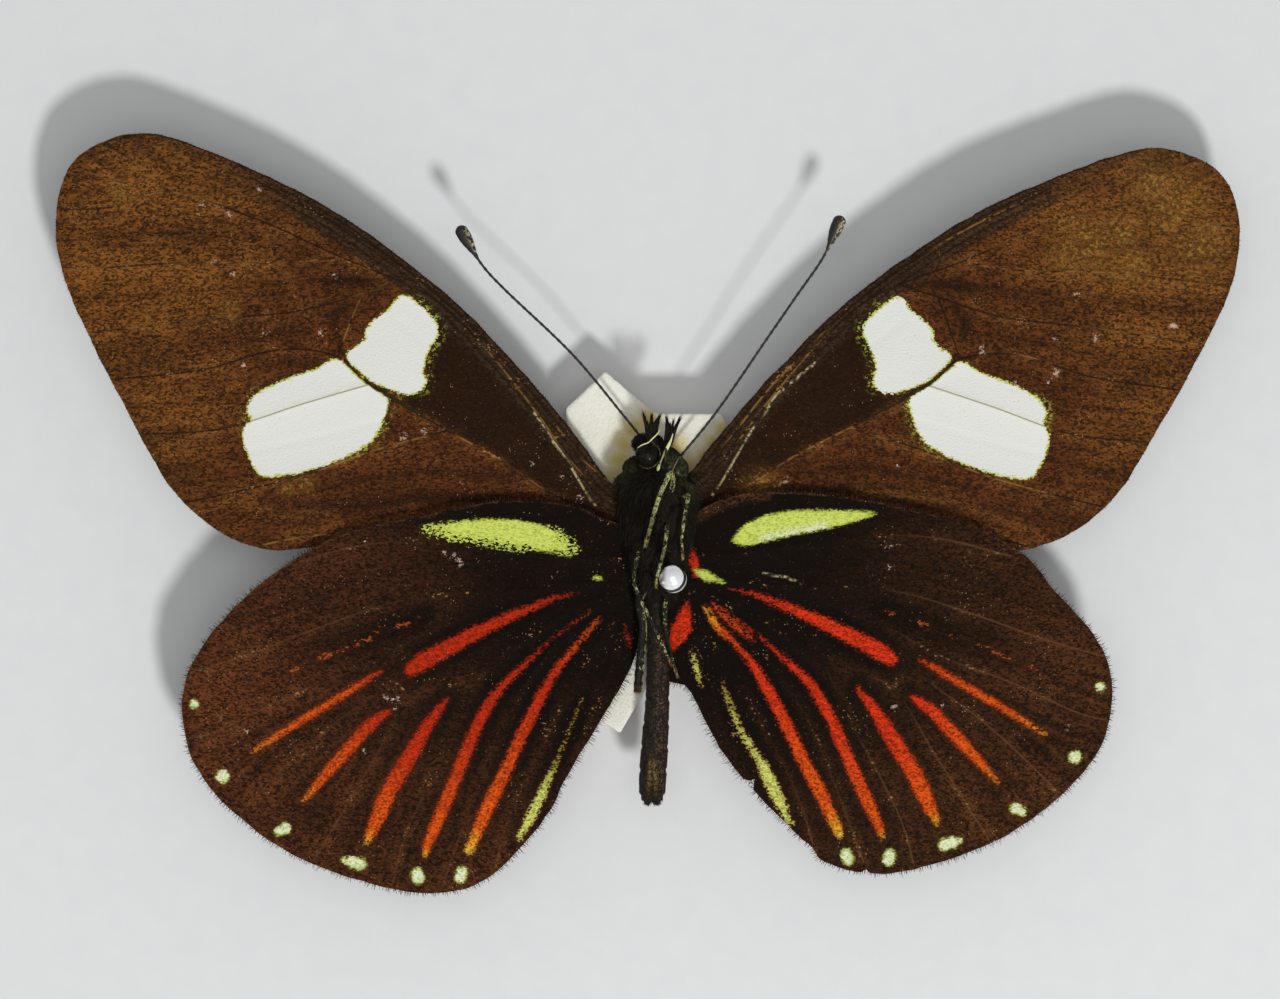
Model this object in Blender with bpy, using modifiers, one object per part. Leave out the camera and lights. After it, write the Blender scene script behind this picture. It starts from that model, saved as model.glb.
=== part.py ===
"""Archonias brassolis, a dried and spread butterfly, held belly up by a steel pin in a small foam block.

The unit of the named sizes is the millimetre, and MM turns them into metres. The origin is the
pin's axis at the underside of the block. +Z is up, which is the belly's side, and the head is
towards +Y. Left and right are the animal's own, so its right wings lie towards -X.
"""

import math

import bmesh
import bpy
from mathutils import Matrix, Vector
from mathutils.geometry import delaunay_2d_cdt

MM = 0.001

# Clearance between pieces that touch on the real specimen.
GAP = 0.3

# Wings: the membrane's thickness, and the veins that stand out of both of its faces.
MEMBRANE = 0.5
VEIN_RELIEF = 0.11
VEIN_HALF_WIDTH = 0.36
VEIN_FADE = 0.45
WING_REACH = 33.0
CAMBER = 0.35
FOREWING_LEVEL = 4.9
HINDWING_LEVEL = 5.93

# Point spacing along a wing's edge, along its veins and in the open membrane.
EDGE_STEP = 1.15
VEIN_STEP = 1.5
OPEN_STEP = 2.6

# A vein's flank points lie on its foot lines, and open points keep clear of every vein.
FLANK_CLEAR = 0.9 * VEIN_HALF_WIDTH
FLANK_APART = 0.8 * VEIN_HALF_WIDTH
OPEN_CLEAR = 3.0 * VEIN_HALF_WIDTH
OPEN_APART = 3.6 * VEIN_HALF_WIDTH

# Body: the thorax is a barrel along Y, with its shoulders round the back of the head. Its rings
# are given as a place along Y and a share of the full radius.
BODY_X = -0.75
BODY_LEVEL = 5.9
THORAX_RADIUS = 1.85
THORAX_DEPTH_RATIO = 1.08
THORAX_RINGS = (
    (-1.2, 0.46), (-0.75, 0.68), (0.0, 0.88), (1.5, 1.0), (4.3, 1.0), (5.2, 0.93), (5.75, 0.76),
    (6.0, 0.55),
)

# The slender abdomen droops to its tip: its line with a radius at each point, and its segments,
# which are a little narrower where they join.
ABDOMEN_LINE = (
    (-0.8, -1.5, 5.65, 0.6), (-0.76, -4.2, 5.75, 0.58), (-0.79, -6.6, 5.55, 0.58),
    (-0.91, -8.7, 5.3, 0.64), (-1.04, -10.8, 4.98, 0.67), (-1.06, -11.75, 4.82, 0.55),
    (-1.06, -12.15, 4.75, 0.28),
)
ABDOMEN_SEGMENTS = 8
ABDOMEN_DIP = 0.07
ABDOMEN_STEP = 0.35

# Head: it is turned on the neck, so that the line through both eyes dips to the animal's left.
HEAD_CENTRE = Vector((-0.45, 6.13, 6.0))
HEAD_RADII = (1.35, 0.95, 1.15)
HEAD_TURN = math.radians(-23.7)
EYE_RADIUS = 0.72
EYE_OFFSET = 0.93
EYE_LIFT = 0.1
EYE_INNER = 0.35
FEELER_RADIUS = 0.25
CLUB_RADIUS = 0.4
CLUB_TIP_RADIUS = 0.2
PALP_RADII = (0.28, 0.3, 0.14)
TONGUE_RADIUS = 0.45
TONGUE_WIDTH = 0.5
TONGUE_EDGE = 0.12
TONGUE_PLACE = (0.1, 0.3)
LEG_RADIUS = 0.25
LEG_ROOT_RADIUS = 0.32
LEG_TIP_RADIUS = 0.18

# Point spacing along the body, the feelers and the legs and palps, and sides of a turned piece.
BODY_STEP = 0.6
FEELER_STEP = 0.9
LIMB_STEP = 0.4
ROUND_SIDES = 20

# Mount: a steel pin through the thorax, standing in a blind hole of the foam block.
BLOCK_HEIGHT = 3.6
PIN_RADIUS = 0.25
PIN_FOOT = 1.0
PIN_HEAD_RADIUS = 0.73
PIN_HEAD_LEVEL = 13.0
PIN_HEAD_STEPS = 10
PIN_POINT_LENGTH = 0.9

# Points closer than this are one point where two meshes' rims are joined.
WELD = 0.001

# Right forewing, seen from the belly: its outline from the root along the leading edge and back.
FOREWING_OUTLINE = (
    (-1.5, 4.2), (-3.2, 4.95), (-5.0, 7.35), (-8.0, 10.95), (-12.0, 15.05), (-17.7, 19.3),
    (-23.0, 22.0), (-27.4, 23.57), (-30.2, 23.25), (-32.1, 21.9), (-32.85, 19.2), (-32.4, 16.0),
    (-30.9, 12.5), (-28.9, 8.6), (-26.9, 5.05), (-24.6, 2.75), (-21.8, 1.5), (-19.0, 1.6),
    (-12.0, 2.0), (-4.0, 2.4), (-1.5, 2.7),
)
FOREWING_VEINS = {
    "radius": ((-2.6, 3.9), (-4.9, 5.6), (-7.4, 9.0), (-10.05, 12.3), (-13.0, 15.0), (-18.0, 17.2),
               (-22.1, 19.05), (-26.7, 20.5), (-30.0, 19.7), (-32.8, 19.6)),
    "radius_upper": ((-26.7, 20.5), (-29.0, 22.35), (-30.4, 23.2)),
    "media_1": ((-18.0, 17.0), (-21.0, 16.7), (-26.0, 16.75), (-32.45, 16.3)),
    "media_2": ((-14.4, 15.7), (-16.5, 15.1), (-20.0, 14.15), (-25.0, 13.7), (-31.1, 13.0)),
    "cell_end": ((-16.5, 15.1), (-17.2, 13.4), (-17.8, 11.75)),
    "cubitus": ((-2.6, 3.4), (-5.95, 4.2), (-9.0, 6.15), (-11.95, 7.8), (-16.15, 10.25), (-17.8, 11.75),
                (-21.0, 12.1), (-25.0, 11.05), (-29.95, 10.5)),
    "cubitus_1": ((-16.15, 10.25), (-19.75, 9.2), (-24.0, 7.9), (-28.35, 7.6)),
    "cubitus_2": ((-11.95, 7.8), (-16.0, 6.7), (-20.0, 5.3), (-26.0, 3.95)),
    "anal": ((-3.4, 3.0), (-8.0, 3.1), (-14.0, 2.75), (-19.5, 2.15), (-22.3, 1.6)),
}

# Right hindwing, seen from the belly: from the root along the leading edge and round the rear.
HINDWING_OUTLINE = (
    (-1.2, 2.0), (-3.6, 3.1), (-6.0, 3.95), (-9.5, 4.02), (-13.0, 3.3), (-17.0, 2.45), (-20.0, 1.0),
    (-23.0, -1.35), (-25.2, -4.0), (-26.05, -6.6), (-25.5, -9.7), (-23.6, -12.2), (-20.5, -14.55),
    (-17.0, -16.0), (-13.0, -16.8), (-10.0, -16.1),
)

# The edge of each hindwing beside the abdomen, back to the root. The left one is less folded.
HINDWING_INNER_RIGHT = (
    (-7.5, -13.75), (-5.65, -10.65), (-3.8, -7.6), (-2.2, -4.8), (-1.5, -2.4), (-1.2, 0.0),
)
HINDWING_INNER_LEFT = (
    (6.5, -13.55), (4.3, -11.3), (2.5, -9.0), (1.2, -6.5), (0.62, -5.75), (-0.2, -5.4), (-0.4, -2.4),
    (-0.3, 0.0),
)
HINDWING_VEINS = {
    "subcosta": ((-2.8, 1.0), (-5.0, 1.05), (-9.0, 1.5), (-13.0, 1.85), (-16.5, 1.7), (-20.6, 0.6)),
    "radius": ((-2.9, -0.4), (-5.0, -0.4), (-9.0, -0.8), (-14.0, -1.15), (-18.3, -2.5), (-22.5, -4.1),
               (-25.8, -5.1)),
    "media_1": ((-11.5, -0.95), (-13.6, -2.9), (-16.5, -4.8), (-20.3, -6.3), (-24.0, -8.1),
                (-25.8, -8.6)),
    "media_2": ((-13.6, -2.9), (-14.9, -5.3), (-18.5, -8.2), (-20.5, -10.0), (-23.1, -12.7)),
    "cubitus": ((-2.8, -1.0), (-4.8, -1.45), (-7.5, -3.1), (-11.0, -5.4), (-13.9, -6.5), (-16.2, -10.3),
                (-19.2, -15.3)),
    "cell_end": ((-14.9, -5.3), (-13.9, -6.5)),
    "cubitus_1": ((-10.1, -4.85), (-11.3, -7.8), (-14.0, -13.3), (-14.9, -16.5)),
    "cubitus_2": ((-4.8, -1.45), (-7.0, -4.6), (-9.5, -8.9), (-12.3, -16.7)),
    "anal_2": ((-2.9, -1.9), (-5.3, -5.7), (-8.2, -11.5), (-9.5, -15.7)),
    "anal_3": ((-2.6, -2.6), (-4.2, -7.1), (-5.9, -10.2)),
}

# The left wings are the right ones mirrored. They were spread a little lower and photographed a
# little smaller: the turn in degrees, the size against the right wing, and the shift.
LEFT_FOREWING = (-2.05, 0.976, (-2.457, 0.762))
LEFT_HINDWING = (1.37, 0.962, (-1.832, 0.078))

# Legs: the line of each one from its root in the thorax to its foot, as it dried.
LEGS = {
    "foreleg_right": ((-0.2, 4.2, 6.9), (0.02, 4.95, 8.2), (-0.12, 5.45, 8.8), (-0.72, 4.2, 8.65),
                      (-1.2, 2.5, 8.45), (-1.45, 1.6, 8.25)),
    "foreleg_left": ((0.35, 4.1, 6.7), (0.8, 4.35, 7.85), (0.75, 3.8, 8.45), (0.5, 2.2, 8.5),
                     (0.56, 0.95, 8.35)),
    "midleg_right": ((-1.35, 2.0, 6.9), (-1.85, 1.1, 7.8), (-2.0, -0.3, 8.2), (-1.5, -1.5, 8.2),
                     (-1.0, -2.5, 8.05), (-0.5, -3.6, 7.95), (0.0, -4.7, 7.6)),
    "midleg_left": ((-0.25, 3.0, 7.0), (-0.3, 2.4, 8.3), (-0.45, 1.4, 8.5), (-0.8, 0.1, 8.45),
                    (-0.85, -0.55, 8.35)),
    "hindleg_right": ((-1.35, -0.3, 6.4), (-1.75, -1.3, 7.15), (-1.55, -2.6, 7.05), (-1.72, -4.6, 6.7),
                      (-1.84, -6.1, 6.4)),
    "hindleg_left": ((-0.4, -0.75, 6.5), (-0.36, -1.2, 7.2), (-0.38, -2.5, 7.05), (-0.1, -3.9, 6.95),
                     (0.28, -5.3, 6.9)),
}

FEELERS = {
    "antenna_right": ((-0.75, 6.45, 5.3), (-1.3, 7.0, 5.0), (-2.5, 8.5, 5.1), (-5.3, 11.85, 5.4),
                      (-8.8, 15.2, 5.5), (-10.1, 16.6, 5.45), (-10.9, 17.9, 5.35), (-11.3, 18.65, 5.3)),
    "antenna_left": ((-0.15, 5.95, 5.3), (0.45, 6.45, 5.0), (2.47, 8.94, 5.1), (4.92, 12.5, 5.4),
                     (6.55, 14.86, 5.5), (8.0, 16.95, 5.45), (8.65, 18.35, 5.35), (9.0, 19.2, 5.3)),
}

PALPS = {
    "palp_right": ((-0.72, 6.5, 6.6), (-0.95, 7.3, 6.8), (-1.15, 8.4, 7.0)),
    "palp_left": ((-0.12, 6.35, 6.6), (0.0, 7.2, 6.8), (0.12, 8.25, 7.0)),
}

# Foam block: the plan of an offcut that was trimmed by hand.
BLOCK_PLAN = (
    (-5.71, 9.01), (-3.57, 11.04), (-0.91, 8.75), (2.67, 8.75), (3.09, 7.84), (2.67, 0.91),
    (-2.77, -8.43), (-4.64, -7.2),
)

COLOURS = {
    "wing": ((0.085, 0.032, 0.012), 0.7),
    "body": ((0.012, 0.01, 0.007), 0.75),
    "eye": ((0.008, 0.007, 0.006), 0.3),
    "leg": ((0.12, 0.13, 0.035), 0.7),
    "steel": ((0.62, 0.63, 0.65), 0.22),
    "foam": ((0.74, 0.74, 0.66), 0.9),
}


def clear_scene():
    for old in list(bpy.data.objects):
        bpy.data.objects.remove(old, do_unlink=True)


def new_collection(name):
    collection = bpy.data.collections.new(name)
    bpy.context.scene.collection.children.link(collection)
    return collection


def paint(obj, finish, metallic=0.0):
    """Gives the object a material of its own."""
    colour, roughness = COLOURS[finish]
    material = bpy.data.materials.new(obj.name + "_" + finish)
    material.use_nodes = True
    shader = material.node_tree.nodes["Principled BSDF"]
    shader.inputs["Base Color"].default_value = (*colour, 1.0)
    shader.inputs["Roughness"].default_value = roughness
    shader.inputs["Metallic"].default_value = metallic
    obj.data.materials.clear()
    obj.data.materials.append(material)


def add_object(name, mesh, collection):
    obj = bpy.data.objects.new(name, mesh)
    collection.objects.link(obj)
    return obj


def add_cutter(name, mesh):
    cutter = add_object(name, mesh, cutters)
    cutter.hide_render = True
    cutter.display_type = "WIRE"
    return cutter


def mesh_from(bm, name):
    """A mesh from a bmesh whose sizes are in millimetres."""
    bmesh.ops.scale(bm, vec=(MM, MM, MM), verts=bm.verts)
    mesh = bpy.data.meshes.new(name)
    bm.to_mesh(mesh)
    bm.free()
    mesh.shade_smooth()
    mesh.set_sharp_from_angle(angle=math.radians(40))
    return mesh


def evaluated_mesh(obj):
    graph = bpy.context.evaluated_depsgraph_get()
    return bpy.data.meshes.new_from_object(obj.evaluated_get(graph))


def smooth_path(points, step, closed=False):
    """Points about one step apart on a smooth curve through the given ones."""
    known = [Vector(point) for point in points]
    last = len(known) - 1
    path = []
    for i in range(last + 1 if closed else last):
        if closed:
            before, start, end, after = (known[(i + k) % (last + 1)] for k in (-1, 0, 1, 2))
        else:
            before, start, end, after = (known[min(max(i + k, 0), last)] for k in (-1, 0, 1, 2))
        pieces = max(1, round((end - start).length / step))
        for k in range(pieces):
            t = k / pieces
            path.append(
                start
                + (end - before) * (t / 2)
                + (before * 2 - start * 5 + end * 4 - after) * (t * t / 2)
                + (start * 3 - before - end * 3 + after) * (t * t * t / 2)
            )
    return path if closed else path + [known[last]]


def tube_mesh(name, stations, step, sides_level=2, depth_ratio=1.0, grow=0.0):
    """A closed round limb along stations of (x, y, z, radius), made longer and thicker by grow."""
    path = smooth_path(stations, step)
    ends = (path[1] - path[0]).xyz.normalized(), (path[-2] - path[-1]).xyz.normalized()
    path[0] = Vector((*(path[0].xyz - ends[0] * grow), path[0].w))
    path[-1] = Vector((*(path[-1].xyz - ends[1] * grow), path[-1].w))
    curve = bpy.data.curves.new(name, "CURVE")
    curve.dimensions = "3D"
    curve.bevel_depth = MM
    curve.bevel_resolution = sides_level
    curve.use_fill_caps = True
    spline = curve.splines.new("POLY")
    spline.points.add(len(path) - 1)
    level = path[0].z
    for point, station in zip(spline.points, path):
        point.co = (station.x * MM, station.y * MM, ((station.z - level) / depth_ratio + level) * MM, 1)
        point.radius = station.w + grow
    guide = add_object(name + "_guide", curve, cutters)
    mesh = evaluated_mesh(guide)
    bpy.data.objects.remove(guide)
    bm = bmesh.new()
    bm.from_mesh(mesh)
    bmesh.ops.remove_doubles(bm, verts=bm.verts, dist=WELD * MM)
    bmesh.ops.translate(bm, verts=bm.verts, vec=(0, 0, -level * MM))
    bmesh.ops.scale(bm, verts=bm.verts, vec=(1 / MM, 1 / MM, depth_ratio / MM))
    bmesh.ops.translate(bm, verts=bm.verts, vec=(0, 0, level))
    bmesh.ops.recalc_face_normals(bm, faces=bm.faces)
    bpy.data.meshes.remove(mesh)
    return mesh_from(bm, name)


def ellipsoid_mesh(name, centre, radii, turn=0.0, flat_at=None, detail=(20, 14)):
    """An ellipsoid. Where flat_at is given, what lies below it on the ellipsoid's own X is cut off."""
    bm = bmesh.new()
    bmesh.ops.create_uvsphere(bm, u_segments=detail[0], v_segments=detail[1], radius=1.0)
    bmesh.ops.rotate(bm, verts=bm.verts, matrix=Matrix.Rotation(math.pi / 2, 3, "Y"))
    bmesh.ops.scale(bm, verts=bm.verts, vec=radii)
    if flat_at is not None:
        cut = bmesh.ops.bisect_plane(
            bm, geom=bm.verts[:] + bm.edges[:] + bm.faces[:], plane_co=(flat_at, 0, 0),
            plane_no=(-1, 0, 0), clear_outer=True,
        )
        rim = [item for item in cut["geom_cut"] if isinstance(item, bmesh.types.BMEdge)]
        bmesh.ops.edgeloop_fill(bm, edges=rim)
    bmesh.ops.rotate(bm, verts=bm.verts, matrix=Matrix.Rotation(turn, 3, "Z"))
    bmesh.ops.translate(bm, verts=bm.verts, vec=centre)
    bmesh.ops.recalc_face_normals(bm, faces=bm.faces)
    return mesh_from(bm, name)


def keep_largest(mesh):
    """Drops loose scraps that a cut leaves beside the main surface."""
    bm = bmesh.new()
    bm.from_mesh(mesh)
    unseen = set(bm.verts)
    shells = []
    while unseen:
        shell = set()
        edge = [unseen.pop()]
        while edge:
            vert = edge.pop()
            shell.add(vert)
            linked = {line.other_vert(vert) for line in vert.link_edges} & unseen
            unseen -= linked
            edge.extend(linked)
        shells.append(shell)
    main = max(shells, key=len)
    bmesh.ops.delete(bm, geom=[vert for vert in bm.verts if vert not in main], context="VERTS")
    bm.to_mesh(mesh)
    bm.free()


def carve(obj, tools):
    """Cuts the tools out of the object and applies the result."""
    for tool in tools:
        cut = obj.modifiers.new("clear_of_" + tool.name, "BOOLEAN")
        cut.operation = "DIFFERENCE"
        cut.solver = "EXACT"
        cut.object = tool
    bpy.context.view_layer.update()
    mesh = evaluated_mesh(obj)
    obj.modifiers.clear()
    keep_largest(mesh)
    mesh.shade_smooth()
    mesh.set_sharp_from_angle(angle=math.radians(40))
    obj.data = mesh


def placed_left(points, placing):
    """Right wing points mirrored to the left side, turned, sized and shifted."""
    degrees, size, shift = placing
    turn = Matrix.Rotation(math.radians(degrees), 2)
    return [turn @ Vector((-x, y)) * size + Vector(shift) for x, y in points]


def nearest_on(point, lines):
    """Distance from the point to the nearest of the polylines."""
    best = math.inf
    for line in lines:
        for start, end in zip(line, line[1:]):
            span = end - start
            t = min(max((point - start).dot(span) / span.length_squared, 0.0), 1.0)
            best = min(best, (point - start - span * t).length)
    return best


def is_inside(point, ring):
    inside = False
    for a, b in zip(ring, ring[1:] + ring[:1]):
        if (a.y > point.y) != (b.y > point.y):
            if point.x < a.x + (point.y - a.y) / (b.y - a.y) * (b.x - a.x):
                inside = not inside
    return inside


def wing(name, outline, veins, level):
    """A thin cambered sheet, triangulated along its veins, thickened alike on both faces."""
    ring = smooth_path(outline, EDGE_STEP, closed=True)
    points = list(ring)
    edges = [(i, (i + 1) % len(ring)) for i in range(len(ring))]
    crests = []
    for vein in veins:
        crest = [point for point in smooth_path(vein, VEIN_STEP) if is_inside(point, ring)]
        tip = min(ring, key=lambda point: (point - crest[-1]).length)
        if (tip - crest[-1]).length < EDGE_STEP:
            crest[-1] = tip
        crests.append(crest)
    for crest in crests:
        numbers = []
        for point in crest:
            near = [i for i, other in enumerate(points) if (other - point).length < VEIN_HALF_WIDTH / 2]
            if not near:
                points.append(point)
            numbers.append(near[0] if near else len(points) - 1)
        edges += [pair for pair in zip(numbers, numbers[1:]) if pair[0] != pair[1]]
    flanks = []
    for crest in crests:
        for before, point, after in zip(crest, crest[1:], crest[2:]):
            side = (after - before).normalized().orthogonal() * VEIN_HALF_WIDTH
            flanks += [point + side, point - side]
    low, high = (Vector(pick(p[k] for p in ring) for k in (0, 1)) for pick in (min, max))
    rows = int((high.y - low.y) / OPEN_STEP) + 1
    columns = int((high.x - low.x) / OPEN_STEP) + 1
    open_points = [
        low + Vector(((column + 0.5 * (row % 2)) * OPEN_STEP, row * OPEN_STEP))
        for row in range(rows) for column in range(columns)
    ]
    for group, clear, apart in (
        (flanks, FLANK_CLEAR, FLANK_APART), (open_points, OPEN_CLEAR, OPEN_APART)
    ):
        for point in group:
            if not is_inside(point, ring) or nearest_on(point, [ring + ring[:1]]) < VEIN_HALF_WIDTH:
                continue
            if nearest_on(point, crests) < clear:
                continue
            if all((other - point).length > apart for other in points):
                points.append(point)
    flat, _, faces, _, _, _ = delaunay_2d_cdt(points, edges, [list(range(len(ring)))], 1, WELD)
    bm = bmesh.new()
    layer = bm.verts.layers.deform.verify()
    least = MEMBRANE / (MEMBRANE + 2 * VEIN_RELIEF)
    verts = []
    for point in flat:
        out = min(abs(point.x - BODY_X) / WING_REACH, 1.0)
        vert = bm.verts.new((point.x, point.y, level + CAMBER * math.sin(math.pi * out)))
        rise = max(0.0, 1.0 - nearest_on(point, crests) / VEIN_HALF_WIDTH)
        vert[layer][0] = rise * (1.0 - VEIN_FADE * out)
        verts.append(vert)
    for face in faces:
        bm.faces.new([verts[i] for i in face])
    bmesh.ops.recalc_face_normals(bm, faces=bm.faces)
    obj = add_object(name, mesh_from(bm, name), butterfly)
    obj.vertex_groups.new(name="veins")
    shell = obj.modifiers.new("thickness", "SOLIDIFY")
    shell.thickness = (MEMBRANE + 2 * VEIN_RELIEF) * MM
    shell.offset = 0.0
    shell.vertex_group = "veins"
    shell.thickness_vertex_group = least
    paint(obj, "wing")
    return obj


def wings():
    for kind, outline, inner_right, inner_left, veins, level, placing in (
        ("forewing", FOREWING_OUTLINE, (), (), FOREWING_VEINS, FOREWING_LEVEL, LEFT_FOREWING),
        ("hindwing", HINDWING_OUTLINE, HINDWING_INNER_RIGHT, HINDWING_INNER_LEFT, HINDWING_VEINS,
         HINDWING_LEVEL, LEFT_HINDWING),
    ):
        right = wing(kind + "_right", (*outline, *inner_right), veins.values(), level)
        left_outline = placed_left(outline, placing) + [Vector(point) for point in inner_left]
        left_veins = [placed_left(vein, placing) for vein in veins.values()]
        left = wing(kind + "_left", left_outline, left_veins, level)
        for side in (right, left):
            carve(side, [room["thorax"], room["abdomen"]])


def thorax_stations():
    return [(BODY_X, y, BODY_LEVEL, THORAX_RADIUS * share) for y, share in THORAX_RINGS]


def abdomen_stations():
    """Rings along the abdomen, narrower where two segments join."""
    line = smooth_path(ABDOMEN_LINE, ABDOMEN_STEP)
    start, end = line[0].y, line[-1].y
    stations = []
    for point in line:
        joint = abs(math.cos(math.pi * ABDOMEN_SEGMENTS * (point.y - start) / (end - start)))
        stations.append((*point.xyz, point.w * (1.0 - ABDOMEN_DIP * joint ** 4)))
    return stations


def make_room():
    """The body's own shapes, larger all round by the clearance, that its neighbours are cut with."""
    room["thorax"] = add_cutter(
        "room_thorax",
        tube_mesh("room_thorax", thorax_stations(), BODY_STEP, 4, THORAX_DEPTH_RATIO, GAP),
    )
    room["abdomen"] = add_cutter(
        "room_abdomen", tube_mesh("room_abdomen", abdomen_stations(), BODY_STEP, 3, 1.0, GAP)
    )
    grown = [radius + GAP for radius in HEAD_RADII]
    room["head"] = add_cutter(
        "room_head", ellipsoid_mesh("room_head", HEAD_CENTRE, grown, HEAD_TURN)
    )
    for side in (-1, 1):
        name = "room_eye_right" if side < 0 else "room_eye_left"
        room[name] = add_cutter(name, eye_mesh(name, side, GAP))
    bm = bmesh.new()
    radius = PIN_RADIUS + GAP
    foot = PIN_FOOT - GAP
    bmesh.ops.create_cone(
        bm, cap_ends=True, segments=ROUND_SIDES, radius1=radius, radius2=radius,
        depth=PIN_HEAD_LEVEL - foot,
    )
    bmesh.ops.translate(bm, verts=bm.verts, vec=(0, 0, (PIN_HEAD_LEVEL + foot) / 2))
    room["pin"] = add_cutter("room_pin", mesh_from(bm, "room_pin"))


def eye_mesh(name, side, grow=0.0):
    turn = HEAD_TURN if side > 0 else HEAD_TURN + math.pi
    axis = Vector((math.cos(turn), math.sin(turn), 0.0))
    centre = HEAD_CENTRE + axis * EYE_OFFSET + Vector((0.0, 0.0, EYE_LIFT))
    radius = EYE_RADIUS + grow
    return ellipsoid_mesh(name, centre, (radius,) * 3, turn, -EYE_INNER - grow)


def body():
    mesh = tube_mesh("thorax", thorax_stations(), BODY_STEP, 4, THORAX_DEPTH_RATIO)
    thorax = add_object("thorax", mesh, butterfly)
    eyes = [room["room_eye_right"], room["room_eye_left"]]
    carve(thorax, [room["head"], *eyes, room["pin"]])
    paint(thorax, "body")
    mesh = tube_mesh("abdomen", abdomen_stations(), BODY_STEP, 3)
    abdomen = add_object("abdomen", mesh, butterfly)
    paint(abdomen, "body")
    mesh = ellipsoid_mesh("head", HEAD_CENTRE, HEAD_RADII, HEAD_TURN)
    head = add_object("head", mesh, butterfly)
    carve(head, eyes)
    paint(head, "body")
    for side, name in ((-1, "eye_right"), (1, "eye_left")):
        paint(add_object(name, eye_mesh(name, side), butterfly), "eye")


def limbs():
    eyes = [room["room_eye_right"], room["room_eye_left"]]
    for name, line in FEELERS.items():
        thickness = [FEELER_RADIUS] * (len(line) - 2) + [CLUB_RADIUS, CLUB_TIP_RADIUS]
        stations = [(*point, radius) for point, radius in zip(line, thickness)]
        feeler = add_object(name, tube_mesh(name, stations, FEELER_STEP), butterfly)
        carve(feeler, [room["head"], *eyes])
        paint(feeler, "body")
    for name, line in PALPS.items():
        stations = [(*point, radius) for point, radius in zip(line, PALP_RADII)]
        palp = add_object(name, tube_mesh(name, stations, LIMB_STEP), butterfly)
        carve(palp, [room["head"], *eyes])
        paint(palp, "body")
    for name, line in LEGS.items():
        thickness = [LEG_ROOT_RADIUS] + [LEG_RADIUS] * (len(line) - 2) + [LEG_TIP_RADIUS]
        stations = [(*point, radius) for point, radius in zip(line, thickness)]
        leg = add_object(name, tube_mesh(name, stations, LIMB_STEP), butterfly)
        carve(leg, [room["thorax"]])
        paint(leg, "leg")


def tongue():
    """The coiled tongue, a small round coil on edge below the mouth."""
    bm = bmesh.new()
    bmesh.ops.create_cone(
        bm, cap_ends=True, segments=ROUND_SIDES, radius1=TONGUE_RADIUS, radius2=TONGUE_RADIUS,
        depth=TONGUE_WIDTH,
    )
    bmesh.ops.rotate(bm, verts=bm.verts, matrix=Matrix.Rotation(math.pi / 2, 3, "Y"))
    bmesh.ops.rotate(bm, verts=bm.verts, matrix=Matrix.Rotation(HEAD_TURN, 3, "Z"))
    rise = HEAD_RADII[2] + GAP + TONGUE_RADIUS
    bmesh.ops.translate(bm, verts=bm.verts, vec=HEAD_CENTRE + Vector((*TONGUE_PLACE, rise)))
    coil = add_object("proboscis", mesh_from(bm, "proboscis"), butterfly)
    edge = coil.modifiers.new("round_edges", "BEVEL")
    edge.width = TONGUE_EDGE * MM
    edge.segments = 2
    paint(coil, "body")


def pin():
    """Turned from one profile: the round head, the shank and the point."""
    profile = [(0.0, PIN_HEAD_LEVEL + PIN_HEAD_RADIUS)]
    arc_end = math.pi - math.asin(PIN_RADIUS / PIN_HEAD_RADIUS)
    for i in range(1, PIN_HEAD_STEPS + 1):
        angle = arc_end * i / PIN_HEAD_STEPS
        across = PIN_HEAD_RADIUS * math.sin(angle)
        profile.append((across, PIN_HEAD_LEVEL + PIN_HEAD_RADIUS * math.cos(angle)))
    profile += [(PIN_RADIUS, PIN_FOOT + PIN_POINT_LENGTH), (0.0, PIN_FOOT)]
    bm = bmesh.new()
    verts = [bm.verts.new((x, 0.0, z)) for x, z in profile]
    for pair in zip(verts, verts[1:]):
        bm.edges.new(pair)
    steel = add_object("pin", mesh_from(bm, "pin"), butterfly)
    turn = steel.modifiers.new("turned", "SCREW")
    turn.steps = ROUND_SIDES
    turn.render_steps = ROUND_SIDES
    turn.use_merge_vertices = True
    turn.merge_threshold = WELD * MM
    paint(steel, "steel", metallic=1.0)


def foam_block():
    plan = bpy.data.curves.new("foam_block_plan", "CURVE")
    plan.dimensions = "2D"
    plan.fill_mode = "BOTH"
    plan.extrude = BLOCK_HEIGHT / 2 * MM
    spline = plan.splines.new("POLY")
    spline.points.add(len(BLOCK_PLAN) - 1)
    for point, (x, y) in zip(spline.points, BLOCK_PLAN):
        point.co = (x * MM, y * MM, 0, 1)
    spline.use_cyclic_u = True
    guide = add_object("foam_block_guide", plan, cutters)
    mesh = evaluated_mesh(guide)
    bpy.data.objects.remove(guide)
    bm = bmesh.new()
    bm.from_mesh(mesh)
    bpy.data.meshes.remove(mesh)
    bmesh.ops.remove_doubles(bm, verts=bm.verts, dist=WELD * MM)
    bmesh.ops.scale(bm, verts=bm.verts, vec=(1 / MM,) * 3)
    bmesh.ops.translate(bm, verts=bm.verts, vec=(0, 0, BLOCK_HEIGHT / 2))
    bmesh.ops.recalc_face_normals(bm, faces=bm.faces)
    block = add_object("foam_block", mesh_from(bm, "foam_block"), butterfly)
    carve(block, [room["pin"]])
    paint(block, "foam")


clear_scene()
butterfly = new_collection("archonias_brassolis")
cutters = new_collection("cutters")
room = {}
make_room()
body()
wings()
limbs()
tongue()
pin()
foam_block()
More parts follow.
